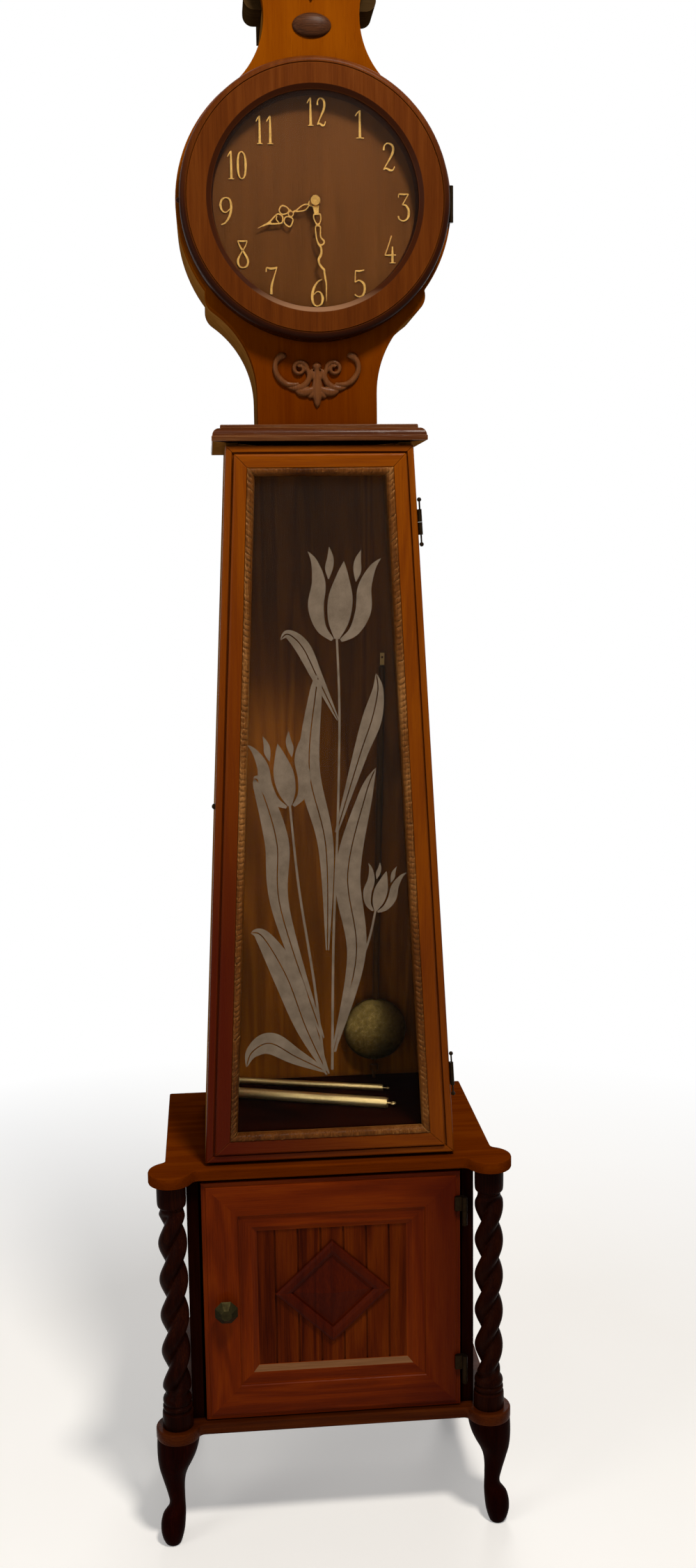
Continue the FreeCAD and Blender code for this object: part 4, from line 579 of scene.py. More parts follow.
# cabriole legs: level, shift outwards, half sizes along and across
legLook = {
    "front": (214, -131.5, 1, -0.5), "rear": (188, 127.5, 1, 0.5), "sides": 40, "square": 0.02,
    "squareFrom": 80, "squareOver": 40,
    "profile": ((0, 11.2, 8.8, 8.6), (1.5, 11.3, 10.4, 10), (5, 11.5, 12.2, 11.6), (11, 11.6, 14.4, 13.2),
                (20, 11.4, 16.4, 14.8), (30, 10.8, 17, 15.4), (38, 9.8, 16.6, 15.2), (44, 8.6, 15.6, 14.6),
                (48.5, 6.8, 13.8, 13.2), (52.5, 5.2, 12, 11.8), (57, 4.4, 11, 11), (63, 4.4, 10.8, 10.8),
                (71, 5.2, 11.6, 11.4), (81, 6.4, 12.8, 12.5), (91, 7.4, 14.4, 13.9), (101, 7.8, 16.6, 16),
                (111, 7.2, 19.8, 19.2), (121, 5.2, 23.4, 23), (131, 3.2, 26.2, 26), (141, 1.6, 28, 28),
                (150, 0.6, 28.8, 28.8), (155.5, 0.2, 28.9, 28.9)),
}


def legPiece(name, place, sides, stands):
    look = legLook
    bm = bmesh.new()
    for side in sides:
        x, y, outX, outY = look[place]
        x, outX = side * x, side * outX
        heading = atan2(outY, outX)
        rings = []
        for level, shift, along, across in flow(look["profile"], 5):
            knee = min(1, max(0, (level - look["squareFrom"]) / look["squareOver"]))
            ring = []
            for k in range(look["sides"]):
                angle = 2 * pi * k / look["sides"]
                square = 1 + look["square"] * cos(4 * angle) * knee
                p, q = along * square * cos(angle), across * square * sin(angle)
                ring.append((x + shift * outX + p * cos(heading) - q * sin(heading),
                             y + shift * outY + p * sin(heading) + q * cos(heading), level))
            rings.append(ring)
        ringed(bm, rings)
    addPiece(name, bm, wood("leg"), "case", (stands,))


legPiece("cabriole_left", "front", (-1,), "leg_front_left")
legPiece("cabriole_right", "front", (1,), "leg_front_right")
legPiece("cabriole_rear", "rear", (-1, 1), "legs_rear")
print("legs shaped")


# chip-carved bead round the trunk door's glass
beadLook = {
    "wide": 10, "step": 1.1, "pitch": 7.4, "sharp": 0.45, "chip": 3.6, "least": 0.55, "spread": 0.6,
    "level": 0.25, "rough": 1.3, "grit": 0.35, "wear": 0.06, "seed": 11.3,
    "profile": ((0, 0), (0, 0.72), (0.07, 0.86), (0.2, 0.97), (0.36, 1), (0.55, 0.97), (0.72, 0.86),
                (0.86, 0.66), (0.95, 0.42), (1, 0.15), (1, 0)),
}


def beadPiece():
    look = beadLook
    points = spots("trunk_door_bead")
    low, high = span(points, 2)
    front, back = span(points, 1)
    outLow = max(p.x for p in points if p.z < low + 1)
    outHigh = max(p.x for p in points if p.z > high - 1)
    outer = [(-outLow, low), (outLow, low), (outHigh, high), (-outHigh, high)]
    wide, grit, wear, seed = (look[key] for key in ("wide", "grit", "wear", "seed"))
    slant = atan2(outLow - outHigh, high - low)
    inLow = outLow - wide / cos(slant) - wide * tan(slant)
    inHigh = outHigh - wide / cos(slant) + wide * tan(slant)
    inner = [(-inLow, low + wide), (inLow, low + wide), (inHigh, high - wide), (-inHigh, high - wide)]
    bm = bmesh.new()
    for k in range(4):
        a, b = Vector(outer[k]), Vector(outer[(k + 1) % 4])
        c, d = Vector(inner[k]), Vector(inner[(k + 1) % 4])
        length = (b - a).length
        count = int(length / look["step"])
        rows = []
        for i in range(count + 1):
            share = i / count
            run = share * length
            chip = abs(sin(pi * run / look["pitch"])) ** look["sharp"]
            row = []
            for across, up in look["profile"]:
                start, end = a + (c - a) * across, b + (d - b) * across
                spot = start + (end - start) * share
                crumb = noise.noise(Vector((spot.x * grit, spot.y * grit, seed + k)))
                worn = noise.noise(Vector((spot.x * wear, spot.y * wear, seed)))
                cut = look["chip"] * (1 - chip) * (look["least"] + look["spread"] * worn)
                cut *= look["level"] if k % 2 == 0 else 1  # shallow along the rails
                cut = cut if 0.1 < across < 0.95 else 0
                y = back - (back - front) * up + (cut + look["rough"] * crumb if 0.05 < across < 0.97 else 0)
                row.append(bm.verts.new((spot.x * mm, min(back, max(front, y)) * mm, spot.y * mm)))
            rows.append(row)
        loft(bm, rows)
    addPiece("carved_bead", bm, wood("bead"), "trunk_door", ("trunk_door_bead",))


beadPiece()
print("bead carved")


# moulded cornice: (inset, height) up the edge, carried round the front and the two ends
corniceLook = {
    "edge": ((1.2, 0), (0.3, 0.3), (0, 1.2), (0, 5.6), (0.3, 6.3), (0.9, 6.6), (1, 7.4), (1.3, 9.4),
             (2.2, 11.6), (3.7, 13.6), (5.8, 15.2), (8.2, 16.2), (10.2, 16.6), (10.8, 17), (10.9, 19.4),
             (11.3, 20.4), (12.4, 20.9)),
    "rim": 13.4, "wellReach": 110, "margin": 20,
}


def cornicePiece():
    look = corniceLook
    points = spots("cornice")
    half = span(points, 0)[1]
    front, back = span(points, 1)
    low, high = span(points, 2)
    inside = front + look["margin"], back - look["margin"]
    well = [p for p in points if abs(p.x) < look["wellReach"] and inside[0] < p.y < inside[1]]
    wellX, wellY = span(well, 0)[1], span(well, 1)
    bm = bmesh.new()

    def loop(x, y0, y1, z):
        return [bm.verts.new((a * mm, b * mm, z * mm)) for a, b in ((-x, y0), (x, y0), (x, y1), (-x, y1))]

    edge = (*look["edge"], (look["rim"], high - low))
    loops = [loop(half - inset, front + inset, back, low + rise) for inset, rise in edge]
    loops = [loop(wellX, *wellY, low)] + loops + [loop(wellX, *wellY, high)]
    for order, faces in enumerate(around(bm, loops)):
        for k, face in enumerate(faces):
            face.material_index = 0 if order else 1 + k % 2  # underside: painted shade in front, the side boards' lighter tone at the ends
    piece = addPiece("cornice_moulding", bm, wood("cornice", "x"), "case", ("cornice",),
                     crease=24)
    for material in (wood("shade", "x"), wood("side")):
        piece.data.materials.append(material)


cornicePiece()
print("cornice moulded")


# moulded frame of the cupboard door: (from the outer edge, depth below the face), mitred round the corners
frameLook = {
    "profile": ((0, 3.6), (0.6, 2.8), (5.4, 2.4), (6.2, 1), (7.6, 0.3), (9.4, 0), (46.2, 0), (47.4, 0.4),
                (48.4, 1.4), (49, 3.2), (49.8, 3.6), (64.2, 3.2), (65.4, 3.5), (72.8, 8.6), (73.4, 8.9)),
    "sillHighlight": 12, "under": 8.96,
}


def cupboardFrame():
    look = frameLook
    rails = spots("base_door_rails")
    half = span(rails, 0)[1]
    front, back = span(rails, 1)
    low, high = span(rails, 2)
    wide, thick = half - min(abs(p.x) for p in spots("base_door_stiles")), back - front
    bm = bmesh.new()
    loops = []
    for inset, depth in (*look["profile"], (wide, look["under"]), (wide, thick), (0, thick)):
        x, bottom, top = half - inset, low + inset, high - inset
        corners = ((-x, bottom), (x, bottom), (x, top), (-x, top))
        loops.append([bm.verts.new((a * mm, (front + depth) * mm, b * mm)) for a, b in corners])
    # the bevel at the foot of the sight takes the lighter tone: a painted highlight where it faces up
    for order, faces in enumerate(around(bm, loops)):
        for k, face in enumerate(faces):
            face.material_index = 2 if k == 0 and order == look["sillHighlight"] else k % 2
    piece = addPiece("cupboard_frame", bm, wood("base", "x"), "cupboard_door",
                     ("base_door_rails", "base_door_stiles"), crease=20)
    for material in (wood("base"), wood("sillHighlight", "x")):
        piece.data.materials.append(material)


cupboardFrame()
print("cupboard door framed")


# strips grown together into one carving
def carve(name, lines, look, stands):
    bm = bmesh.new()
    for line in lines:
        line = [(x, z + look["middle"], w * look["fat"], h * look["flat"]) for x, z, w, h in line]
        sweep(bm, flow(line, 5), look["face"], domeSection, look["sink"])
    piece = addPiece(name, bm, wood("carving"), "case", (stands,))
    work(piece, "one carving", "REMESH", mode="VOXEL", voxel_size=look["voxel"] * mm)
    work(piece, "tool marks", "SMOOTH", iterations=2)


# scroll carving on the neck: a coil with its sweep and four strips on each side, a leaf between them
scrollLook = {
    "middle": 1551.5, "face": -91.5, "sink": 0.4, "rise": 5.4, "fat": 1.42, "flat": 0.95, "voxel": 0.7,
    "coil": (21.8, 20), "coilOut": 9.4, "coilIn": 2.6, "coilTurns": 1.35, "coilSteps": 26,
    "sweep": ((9.6, 12, 2.4, 4.4), (12.4, 3.6, 2.8, 4.4), (20, -2.6, 3, 4.4), (29.5, -4, 2.4, 3.8),
              (37.5, -1.8, 1.2, 2.6)),
    "strips": (((23, 1.8, 1.4, 2.8), (30, 0.6, 2.2, 4.2), (39, 1.6, 2.7, 4.8), (47.2, 8.2, 2.7, 5),
                (52.2, 17.5, 2.4, 4.8), (52, 27, 2.4, 4.8), (47.2, 34, 3, 5), (43.2, 35.6, 3.4, 4.8),
                (41.2, 33, 2.2, 4)),
               ((3, -2, 1.6, 3.4), (8.5, -6.6, 3.6, 5), (16, -8.8, 4.2, 5.2), (23, -8.2, 3, 4.2),
                (28.5, -5.8, 0.6, 2)),
               ((2, -7, 1.6, 3.6), (5.5, -11, 2.8, 4.4), (9, -14, 2.2, 3.6), (11.5, -15, 0.6, 1.6)),
               ((1.2, 4, 1.4, 3.2), (4.2, 9, 1.8, 4), (6.4, 15, 1.6, 4), (6, 20, 0.8, 2.6))),
    "leaf": ((0, 27.6, 1.2, 2.4), (0, 25.4, 3.4, 4.6), (0, 22.6, 4, 5.2), (0, 19.6, 2.8, 4.4),
             (0, 17, 2.6, 4), (0, 8, 3.8, 4.6), (0, -4, 5, 5.4), (0, -13, 4.6, 5.2), (0, -19, 3.4, 4.6),
             (0, -24, 2.4, 3.8), (0, -28, 0.5, 1.8)),
}


def scrollPiece():
    s = scrollLook
    cx, cz = s["coil"]
    coil = []
    for i in range(s["coilSteps"] + 1):
        share = i / s["coilSteps"]
        angle = pi - 2 * pi * s["coilTurns"] * (1 - share)
        radius = s["coilIn"] + (s["coilOut"] - s["coilIn"]) * share
        coil.append((cx + radius * cos(angle), cz + radius * sin(angle),
                     1.5 + 0.7 * share, s["rise"] * (0.95 - 0.15 * share)))
    strips = ((*coil, *s["sweep"]), *s["strips"])
    lines = [[(side * x, z, w, h) for x, z, w, h in strip] for side in (-1, 1) for strip in strips]
    carve("neck_carving", lines + [s["leaf"]], s, "neck_scroll")


scrollPiece()


# leaf on the crest: a rib and paired lobes
crestLook = {
    "middle": 2008, "face": -91.5, "sink": 0.4, "fat": 1, "flat": 1, "voxel": 0.6,
    "rib": ((0, 0, 1.2, 3), (0, 8, 2.8, 5.4), (0, 20, 2.6, 5.8), (0, 32, 2, 5.2), (0, 40, 1.6, 4.4),
            (0, 43.6, 0.4, 2)),
    "lobes": ((7, 8.2, 9), (15, 9.6, 11), (24, 8.2, 11), (32, 5.4, 8)),
}


def crestPiece():
    lines = [crestLook["rib"]]
    for side in (-1, 1):
        for level, wide, climb in crestLook["lobes"]:
            lines.append([(0, level - 3, 1.4, 3.4), (side * wide * 0.5, level + climb * 0.25, 2.6, 4.4),
                          (side * wide * 0.9, level + climb * 0.6, 2.2, 3.6),
                          (side * wide, level + climb, 0.5, 1.4)])
    carve("crest_carving", lines, crestLook, "crest_leaf")


crestPiece()
print("carvings cut")


# brass hands, sawn from sheet: (along, across, half width) from the arbor, in mm
handLook = {
    "thick": 1.2, "layer": 0.03,
    "minute": {
        "turn": 174.3, "back": -105.8, "body": "minute_arbor", "stretch": 1.034,
        "open": (((-6, 0, 2.6), (2, 0, 4.6), (9, 0, 3.4), (13, 0, 3), (15.2, 0, 2.4)),
                 ((15.2, 3.3, 0.9), (15, 0, 1.1), (15.4, -4.2, 0.9)),
                 ((14.6, 3.2, 0.9), (19, 4.1, 0.8), (25, 2.2, 0.9), (27.6, 0.2, 1.2), (30, -2.8, 0.8),
                  (35, -2.4, 0.8), (41.6, -2, 0.9), (47, -5.6, 1.1), (50.6, -3.2, 1), (49.8, 1.4, 1.1)),
                 ((15, -4.2, 0.9), (20, -4.7, 0.8), (25.2, -3, 0.8), (27.6, 0.2, 1.2), (30, 3.2, 0.8),
                  (39.4, 3.5, 0.9), (46, 2.8, 1), (50.2, 1, 1.3), (53.6, -0.8, 1.2), (59.3, -0.8, 1.3),
                  (63.4, 1.2, 1.5), (66.5, 3.4, 1.4), (71.5, 3.4, 1.2), (76.4, 0.8, 1.3), (79.4, -1.6, 1.3),
                  (84, -1.8, 1.1), (90, -2.1, 1.2), (96, -2.5, 1), (106, -1.4, 0.7), (116, -0.3, 0.25))),
        "closed": (),
    },
    "hour": {
        "turn": 246, "back": -101.3, "body": "hour_pipe", "stretch": 1,
        "open": (((-6, 0, 2.6), (2, 0, 5.4), (6.4, 0, 3.4), (9.4, -0.6, 1.2)),
                 ((25, -0.5, 1), (28, 0, 1.2), (30.6, -0.8, 0.9)),
                 ((31.4, 1.2, 0.8), (32.4, 3.2, 0.9), (34, 5, 0.8)),
                 ((50, 3.6, 0.6), (52.6, 0.2, 0.8), (51.2, -4.6, 0.6)),
                 ((60, -0.2, 1.5), (66, 0, 1.2), (72, 0, 0.8), (78, 0, 0.25))),
        "closed": (((8.6, -0.6, 0.8), (11.5, -2.8, 0.8), (15.5, -4, 0.8), (21, -3, 0.8), (26, -0.7, 0.9),
                    (20.8, 1.4, 0.8), (14.8, 2.3, 0.8), (11, 1.6, 0.8)),
                   ((36.6, -1, 0.7), (35.6, 1.2, 0.7), (33.4, 2.2, 0.7), (31.2, 1.2, 0.7), (30.2, -1, 0.7),
                    (31.2, -3.2, 0.7), (33.4, -4.2, 0.7), (35.6, -3.2, 0.7)),
                   ((33.6, 4.4, 0.8), (35, 8.8, 0.8), (38.5, 11.8, 0.9), (42, 11.4, 0.9), (45, 8, 0.8),
                    (43.8, 3.4, 0.8), (40, 1.7, 0.8), (36.2, 1.9, 0.8)),
                   ((36.1, -3.9, 0.8), (33.8, -7.2, 0.8), (35.6, -10.8, 0.9), (40.5, -14.2, 0.9),
                    (43.8, -11.2, 0.9), (45, -6.8, 0.8), (42.8, -2.8, 0.8), (39.4, -2, 0.8)),
                   ((44.2, 0.6, 0.9), (46.2, 4, 0.8), (48.8, 5.4, 0.9), (53.4, 4.2, 0.9), (59.2, 1.8, 0.9),
                    (63.6, 0.2, 1), (60.6, -2, 0.9), (54.2, -4.6, 0.9), (48.5, -6, 0.9), (45.6, -3.6, 0.8))),
    },
}


def handPiece(name):
    hand = handLook[name]
    turn = radians(hand["turn"])
    sine, cosine = sin(turn), cos(turn)
    bm = bmesh.new()
    level = 0
    for closed in (False, True):
        for strip in hand["closed" if closed else "open"]:
            rise = handLook["thick"] - handLook["layer"] * level
            level += 1
            line = []
            for a, b, half in flow(strip, 7, closed):
                a *= hand["stretch"]
                line.append((a * sine + b * cosine, dialCentre + a * cosine - b * sine, half, rise))
            sweep(bm, line, hand["back"], flatSection, 0, closed)
    addPiece(name + "_hand_sawn", bm, madeMetals["brass"], hand["body"], (name + "_hand",),
             flat=True)


handPiece("minute")
handPiece("hour")


# cast numerals: strokes of (x, y, half width) on a unit box, widths in mm
sixStrokes = (((0.9, 0.97, 0.8), (0.55, 0.89, 1.1), (0.2, 0.65, 1.5), (0.06, 0.36, 1.6), (0.17, 0.1, 1.3),
               (0.5, 0.03, 0.9), (0.83, 0.11, 1.3), (0.94, 0.3, 1.6), (0.8, 0.48, 1.2), (0.5, 0.54, 0.8),
               (0.16, 0.42, 0.7)),)
figureStrokes = {
    0: (((0.5, 0.97, 0.8), (0.83, 0.85, 1.2), (0.94, 0.5, 1.6), (0.83, 0.15, 1.2), (0.5, 0.03, 0.8),
         (0.17, 0.15, 1.2), (0.06, 0.5, 1.6), (0.17, 0.85, 1.2), (0.47, 0.97, 0.8)),),
    1: (((0.5, 0.98, 1.2), (0.5, 0.5, 1.5), (0.5, 0.03, 1.7)),
        ((0.52, 0.97, 0.9), (0.32, 0.9, 0.9), (0.12, 0.78, 0.7)),
        ((0.18, 0.02, 0.6), (0.5, 0.03, 0.7), (0.82, 0.02, 0.6))),
    2: (((0.1, 0.72, 1.3), (0.14, 0.88, 1), (0.42, 0.97, 0.9), (0.78, 0.91, 1.3), (0.89, 0.75, 1.6),
         (0.75, 0.55, 1.5), (0.4, 0.3, 1), (0.06, 0.05, 0.8)),
        ((0.06, 0.05, 0.8), (0.3, 0.1, 1.1), (0.6, 0.04, 1.4), (0.85, 0.05, 1), (0.98, 0.17, 0.6))),
    3: (((0.06, 0.84, 0.6), (0.11, 0.96, 0.9), (0.5, 0.96, 1.2), (0.9, 0.97, 0.8)),
        ((0.9, 0.97, 0.8), (0.65, 0.78, 0.8), (0.4, 0.6, 0.9)),
        ((0.4, 0.6, 0.9), (0.7, 0.57, 1.2), (0.92, 0.4, 1.6), (0.87, 0.15, 1.5), (0.5, 0.03, 1),
         (0.13, 0.09, 0.9), (0.05, 0.2, 1.2))),
    4: (((0.6, 0.98, 0.8), (0.35, 0.65, 0.8), (0.05, 0.3, 0.8)),
        ((0.03, 0.29, 0.8), (0.5, 0.29, 1.2), (0.97, 0.3, 0.8)),
        ((0.68, 0.6, 0.9), (0.68, 0.3, 1.5), (0.68, 0.03, 1.6)), ((0.42, 0.02, 0.6), (0.93, 0.02, 0.6))),
    5: (((0.16, 0.95, 0.9), (0.5, 0.94, 1.3), (0.9, 0.98, 0.7)),
        ((0.16, 0.95, 0.8), (0.13, 0.75, 0.8), (0.11, 0.54, 0.8)),
        ((0.11, 0.54, 0.8), (0.45, 0.61, 1), (0.83, 0.5, 1.5), (0.93, 0.3, 1.6), (0.78, 0.09, 1.3),
         (0.4, 0.03, 0.9), (0.07, 0.11, 1.1))),
    6: sixStrokes,
    7: (((0.05, 0.8, 0.8), (0.09, 0.95, 0.9), (0.4, 0.92, 1.4), (0.75, 0.94, 1.3), (0.96, 0.98, 0.7)),
        ((0.96, 0.98, 0.7), (0.75, 0.7, 0.9), (0.5, 0.35, 1.4), (0.42, 0.02, 1.7))),
    8: (((0.1, 0.97, 0.8), (0.5, 0.96, 1.2), (0.9, 0.97, 0.8)),
        ((0.12, 0.96, 0.8), (0.3, 0.76, 1.2), (0.62, 0.55, 1.4), (0.91, 0.3, 1.5), (0.82, 0.1, 1.3),
         (0.5, 0.03, 0.9), (0.18, 0.1, 1.3), (0.09, 0.3, 1.5), (0.38, 0.55, 0.8), (0.7, 0.76, 0.8),
         (0.88, 0.96, 0.7))),
    9: tuple(tuple((1 - x, 1 - y, half) for x, y, half in strip) for strip in sixStrokes),
}


numeralLook = {
    "ring": 110, "tall": 34, "wide": 15, "pairWide": 11, "space": 2, "face": -96.5, "thick": 1.2,
    "layer": 0.03, "sink": 0.05,
    "nudges": ((2.4, -2.4), (-2.4, 0), (1.2, -4.9), (-1.2, 0), (0, -1), (1.8, 2.4), (0, 2), (4.9, -7),
               (0, -11), (-0.6, -11.6), (-5, -10.4), (3.1, -3.1)),
}


def numeralPiece():
    n = numeralLook
    bm = bmesh.new()
    for hour, (moveX, moveZ) in enumerate(n["nudges"], 1):
        figures = [int(letter) for letter in str(hour)]
        wide = n["wide"] if len(figures) == 1 else n["pairWide"]
        step = wide + n["space"]
        angle = radians(30 * hour)
        left = n["ring"] * sin(angle) - (step * len(figures) - n["space"]) / 2 + moveX
        low = dialCentre + n["ring"] * cos(angle) - n["tall"] / 2 + moveZ
        for place, figure in enumerate(figures):
            for level, strip in enumerate(figureStrokes[figure]):
                rise = n["thick"] - n["layer"] * level
                line = [(left + place * step + x * wide, low + y * n["tall"], half, rise)
                        for x, y, half in flow(strip, 6)]
                sweep(bm, line, n["face"], flatSection, n["sink"])
    addPiece("cast_numerals", bm, madeMetals["brass"], "case", ("numerals",), flat=True)


numeralPiece()
print("hands and numerals cut")


# frosted plant on the trunk glass: stems, split leaves and tulip blooms, in mm on the pane
plantLook = {
    "face": -122.5, "film": 0.2, "layer": 0.012, "veinGap": 0.7,
    "stems": (((4, 661), (8, 834), (16, 1000), (20, 1138), (18, 1233)),
              ((-6, 661), (-18, 779), (-36, 908), (-46, 1019)), ((8, 686), (30, 769), (54, 834), (64, 876))),
    "leaves": (((-2, 655), (-30, 720), (-54, 790), (-84, 845), (-100, 852), 17),
               ((14, 982), (46, 1083), (62, 1129), (70, 1166), (68, 1188), 12),
               ((-4, 659), (-44, 681), (-78, 701), (-102, 690), (-110, 670), 14),
               ((6, 686), (38, 816), (28, 926), (52, 1028), (66, 1065), 16),
               ((-8, 705), (-60, 880), (-64, 972), (-84, 1046), (-92, 1055), 15),
               ((0, 825), (0, 963), (-20, 1065), (-10, 1166), (-4, 1190), 13),
               ((18, 1129), (-8, 1185), (-26, 1223), (-44, 1240), (-54, 1233), 9)),
    "blooms": ((18, 1233, 6, 1.62), (-46, 1019, -10, 1.35), (64, 876, 16, 0.9)), "stemHalf": 1.7,
    "stemThins": 0.4, "leafShares": (0.12, 0.72, 1, 0.55, 0.02),
    "midPetal": ((0, 0, 2), (0, 14, 8.2), (0, 32, 9.6), (0, 50, 4.6), (0, 61, 0.1)),
    "sidePetals": (((3.4, -1, 1.4), (13.4, 8, 4.2), (18.8, 24, 6.2), (18.2, 42, 5.4), (23, 58, 2.6),
                    (29, 66, 0.1)), ((10.8, 46, 0.3), (11.2, 54, 3), (10.8, 62, 2.6), (12.6, 71, 0.1))),
    "dim": (0.112, 0.083, 0.057), "pale": (0.198, 0.15, 0.108),
}


def shiftLine(line, side, gap):
    moved = []
    for i, (x, z, half) in enumerate(line):
        ahead, behind = line[min(i + 1, len(line) - 1)], line[max(i - 1, 0)]
        run = Vector((ahead[0] - behind[0], ahead[1] - behind[1])).normalized()
        out = side * (half / 2 + gap * min(1, half / 2))
        moved.append((x - run.y * out, z + run.x * out, half / 2))
    return moved


def frost():
    material, tree = newMaterial("frosted_glass")
    coords = objectPlace(tree)
    grit = cloud(tree, coords, 2200, 2, 0.6)
    drift = cloud(tree, coords, 40, 3, 0.6)
    tone = sums(tree, "ADD", times(tree, grit, 0.45), times(tree, drift, 0.55))
    colour = tint(tree, remap(tree, tone, 0.36, 0.64), plantLook["dim"], plantLook["pale"])
    show(tree, principled(tree, **{"Base Color": colour, "Roughness": 0.7, "Specular IOR Level": 0.1,
                                   "Normal": bumped(tree, grit, 0.0002, 0.4)}))
    return material


def frostPiece():
    p = plantLook
    strips = []
    for stem in p["stems"]:
        strips.append(flow([(x, z, p["stemHalf"] - p["stemThins"] * k / len(stem))
                            for k, (x, z) in enumerate(stem)], 10))
    for *points, half in p["leaves"]:
        line = flow([(x, z, half * share) for (x, z), share in zip(points, p["leafShares"])], 10)
        strips += [shiftLine(line, side, p["veinGap"]) for side in (-1, 1)]
    for x, z, lean, size in p["blooms"]:
        c, s = cos(radians(lean)), sin(radians(lean))
        petals = [p["midPetal"]]
        for side in (-1, 1):
            petals += [[(side * a, b, half) for a, b, half in petal] for petal in p["sidePetals"]]
        for petal in petals:
            strips.append([(x + size * (a * c + b * s), z + size * (b * c - a * s), half * size)
                           for a, b, half in flow(petal, 8)])
    bm = bmesh.new()
    for order, strip in enumerate(strips):
        film = p["film"] + p["layer"] * order  # so that no two strips share a face
        sweep(bm, [(x, z, half, film) for x, z, half in strip], p["face"], filmSection, 0)
    addPiece("frosted_plant", bm, frost(), "trunk_door", flat=True)


frostPiece()
print("pane frosted")


# eased edges on the flat boards
edgeLook = {
    "weld": 2e-05, "flat": 1, "steps": 2, "limit": 28,
    "ease": {"base_top_board": 2.2, "base_bottom_board": 2.2, "trunk_door_rails": 1, "trunk_door_stiles": 1,
             "head_front_board": 1.2, "head_sides": 0.8, "trunk_sides": 0.8, "base_sides": 0.8,
             "base_door_diamond": 0.8},
}


def easeEdges():
    e = edgeLook
    for name, width in e["ease"].items():
        piece = nodes[name]
        work(piece, "weld", "WELD", merge_threshold=e["weld"])
        work(piece, "flat faces", "DECIMATE", decimate_type="DISSOLVE", angle_limit=radians(e["flat"]))
        work(piece, "eased edge", "BEVEL", width=width * mm, segments=e["steps"], limit_method="ANGLE",
             angle_limit=radians(e["limit"]))


easeEdges()
print("edges eased")


# stage: pale floor, soft lamps, white surround
stageLook = {"floorHalf": 14, "floorTone": 0.86, "mottle": (0.97, 0.97, 0.96), "lift": 0.24, "fadeFrom": 0.7,
             "fadeTo": 1.9, "surround": 0.13, "warm": (1.0, 0.97, 0.93)}


def seenRays(tree):
    path = put(tree, "ShaderNodeLightPath")
    seen = sums(tree, "MAXIMUM", path.outputs["Is Camera Ray"], path.outputs["Is Glossy Ray"])
    seen = sums(tree, "MAXIMUM", seen, path.outputs["Is Transmission Ray"])
    direct = sums(tree, "LESS_THAN", path.outputs["Diffuse Depth"], 0.5)  # bounced light stays soft
    return times(tree, seen, direct)


def layFloor():
    s = stageLook
    half, tone = s["floorHalf"], s["floorTone"]
    mesh = bpy.data.meshes.new("floor")
    corners = [(x * half, y * half, 0) for x, y in ((-1, -1), (1, -1), (1, 1), (-1, 1))]
    mesh.from_pydata(corners, [], [(0, 1, 2, 3)])
    floor = stand("floor", mesh)
    material, tree = newMaterial("pale_floor")
    coords = objectPlace(tree)
    far = remap(tree, distance(tree, coords), s["fadeFrom"], s["fadeTo"])
    seen = seenRays(tree)
    deeper = tuple(tone * part for part in s["mottle"])
    mottle = tint(tree, cloud(tree, coords, 6, 3), (tone, tone, tone), deeper)
    plain = principled(tree, **{"Base Color": mottle, "Roughness": 0.9, "Specular IOR Level": 0.1})
    glow = put(tree, "ShaderNodeEmission")
    white = put(tree, "ShaderNodeEmission")
    tree.links.new(times(tree, seen, s["lift"]), glow.inputs["Strength"])
    both = put(tree, "ShaderNodeAddShader")
    tree.links.new(plain, both.inputs[0])
    tree.links.new(glow.outputs[0], both.inputs[1])
    show(tree, mixed(tree, times(tree, seen, far), both.outputs[0], white.outputs[0]))
    mesh.materials.append(material)


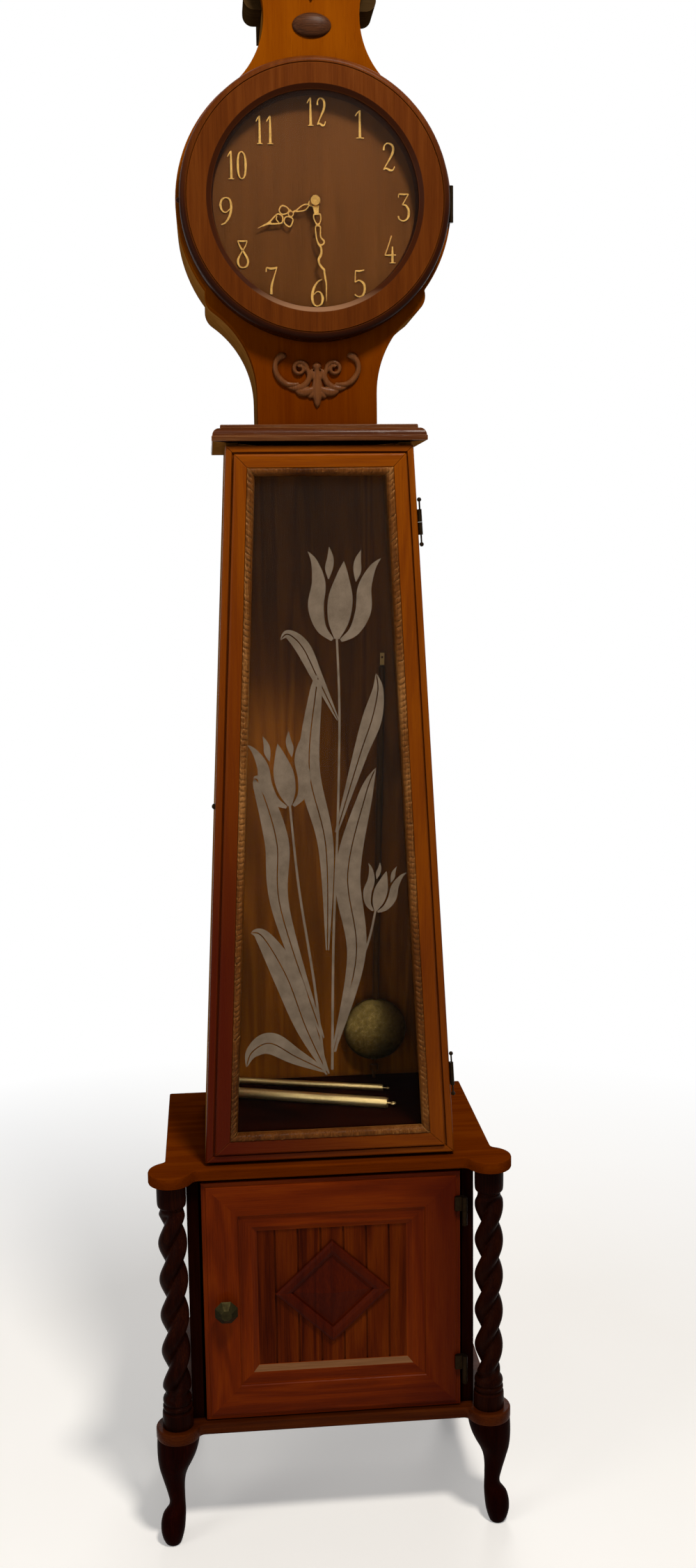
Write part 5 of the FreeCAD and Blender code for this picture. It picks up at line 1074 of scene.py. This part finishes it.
def setSurround():
    world = bpy.data.worlds.new("studio")
    tree = cleared(world)
    skies = []
    for colour, strength in ((stageLook["warm"], stageLook["surround"]), ((1, 1, 1), 1)):
        sky = put(tree, "ShaderNodeBackground")
        sky.inputs["Color"].default_value = (*colour, 1)
        sky.inputs["Strength"].default_value = strength
        skies.append(sky.outputs[0])
    show(tree, mixed(tree, seenRays(tree), *skies), "ShaderNodeOutputWorld")
    scene.world = world


lamps = {
    "overhead_lamp": {"place": (0.5, -1.5, 3.4), "aim": 1.2, "wide": 0.45, "power": 76,
                      "warm": (1, 0.93, 0.84)},
    "left_fill": {"place": (-2.2, -1.6, 1.9), "aim": 1, "wide": 1.4, "power": 17, "warm": (1, 0.96, 0.9)},
    "low_fill": {"place": (-1, -2.3, 0.9), "aim": 0.4, "wide": 1.2, "power": 5, "warm": (1, 0.95, 0.88)},
    "back_fill": {"place": (0.4, 2.6, 2), "aim": 1.1, "wide": 1.6, "power": 30, "warm": (1, 0.97, 0.93)},
}


def hangLamps():
    for name, lamp in lamps.items():
        data = bpy.data.lights.new(name, "AREA")
        data.shape = "DISK"
        data.size = lamp["wide"]
        data.energy = lamp["power"]
        data.color = lamp["warm"]
        item = stand(name, data)
        place = Vector(lamp["place"])
        facing = (Vector((0, 0, lamp["aim"])) - place).to_track_quat("-Z", "Y").to_matrix().to_4x4()
        item.matrix_world = Matrix.Translation(place) @ facing
        item.visible_transmission = False  # the panes already let the lamp through


# camera where the photograph was taken from
photoView = {"place": (-0.14421, -2.03305, 1.33281), "yaw": -5.20822, "pitch": -8.52184, "roll": 0.7349,
             "focal": 2150, "tall": 2253, "sensor": 36, "near": 0.05}


def setCamera():
    v = photoView
    data = bpy.data.cameras.new("photo_camera")
    data.sensor_width = v["sensor"]
    data.lens = v["focal"] / v["tall"] * v["sensor"]
    data.clip_start = v["near"]
    turn = Matrix.Identity(3)
    for angle, axis in ((v["yaw"], "Z"), (v["pitch"], "X"), (v["roll"], "Y"), (90, "X")):
        turn = turn @ Matrix.Rotation(radians(angle), 3, axis)
    scene.camera = stand("photo_camera", data)
    scene.camera.matrix_world = Matrix.Translation(v["place"]) @ turn.to_4x4()


layFloor()
setSurround()
hangLamps()
setCamera()
print("stage set")

bpy.context.view_layer.update()
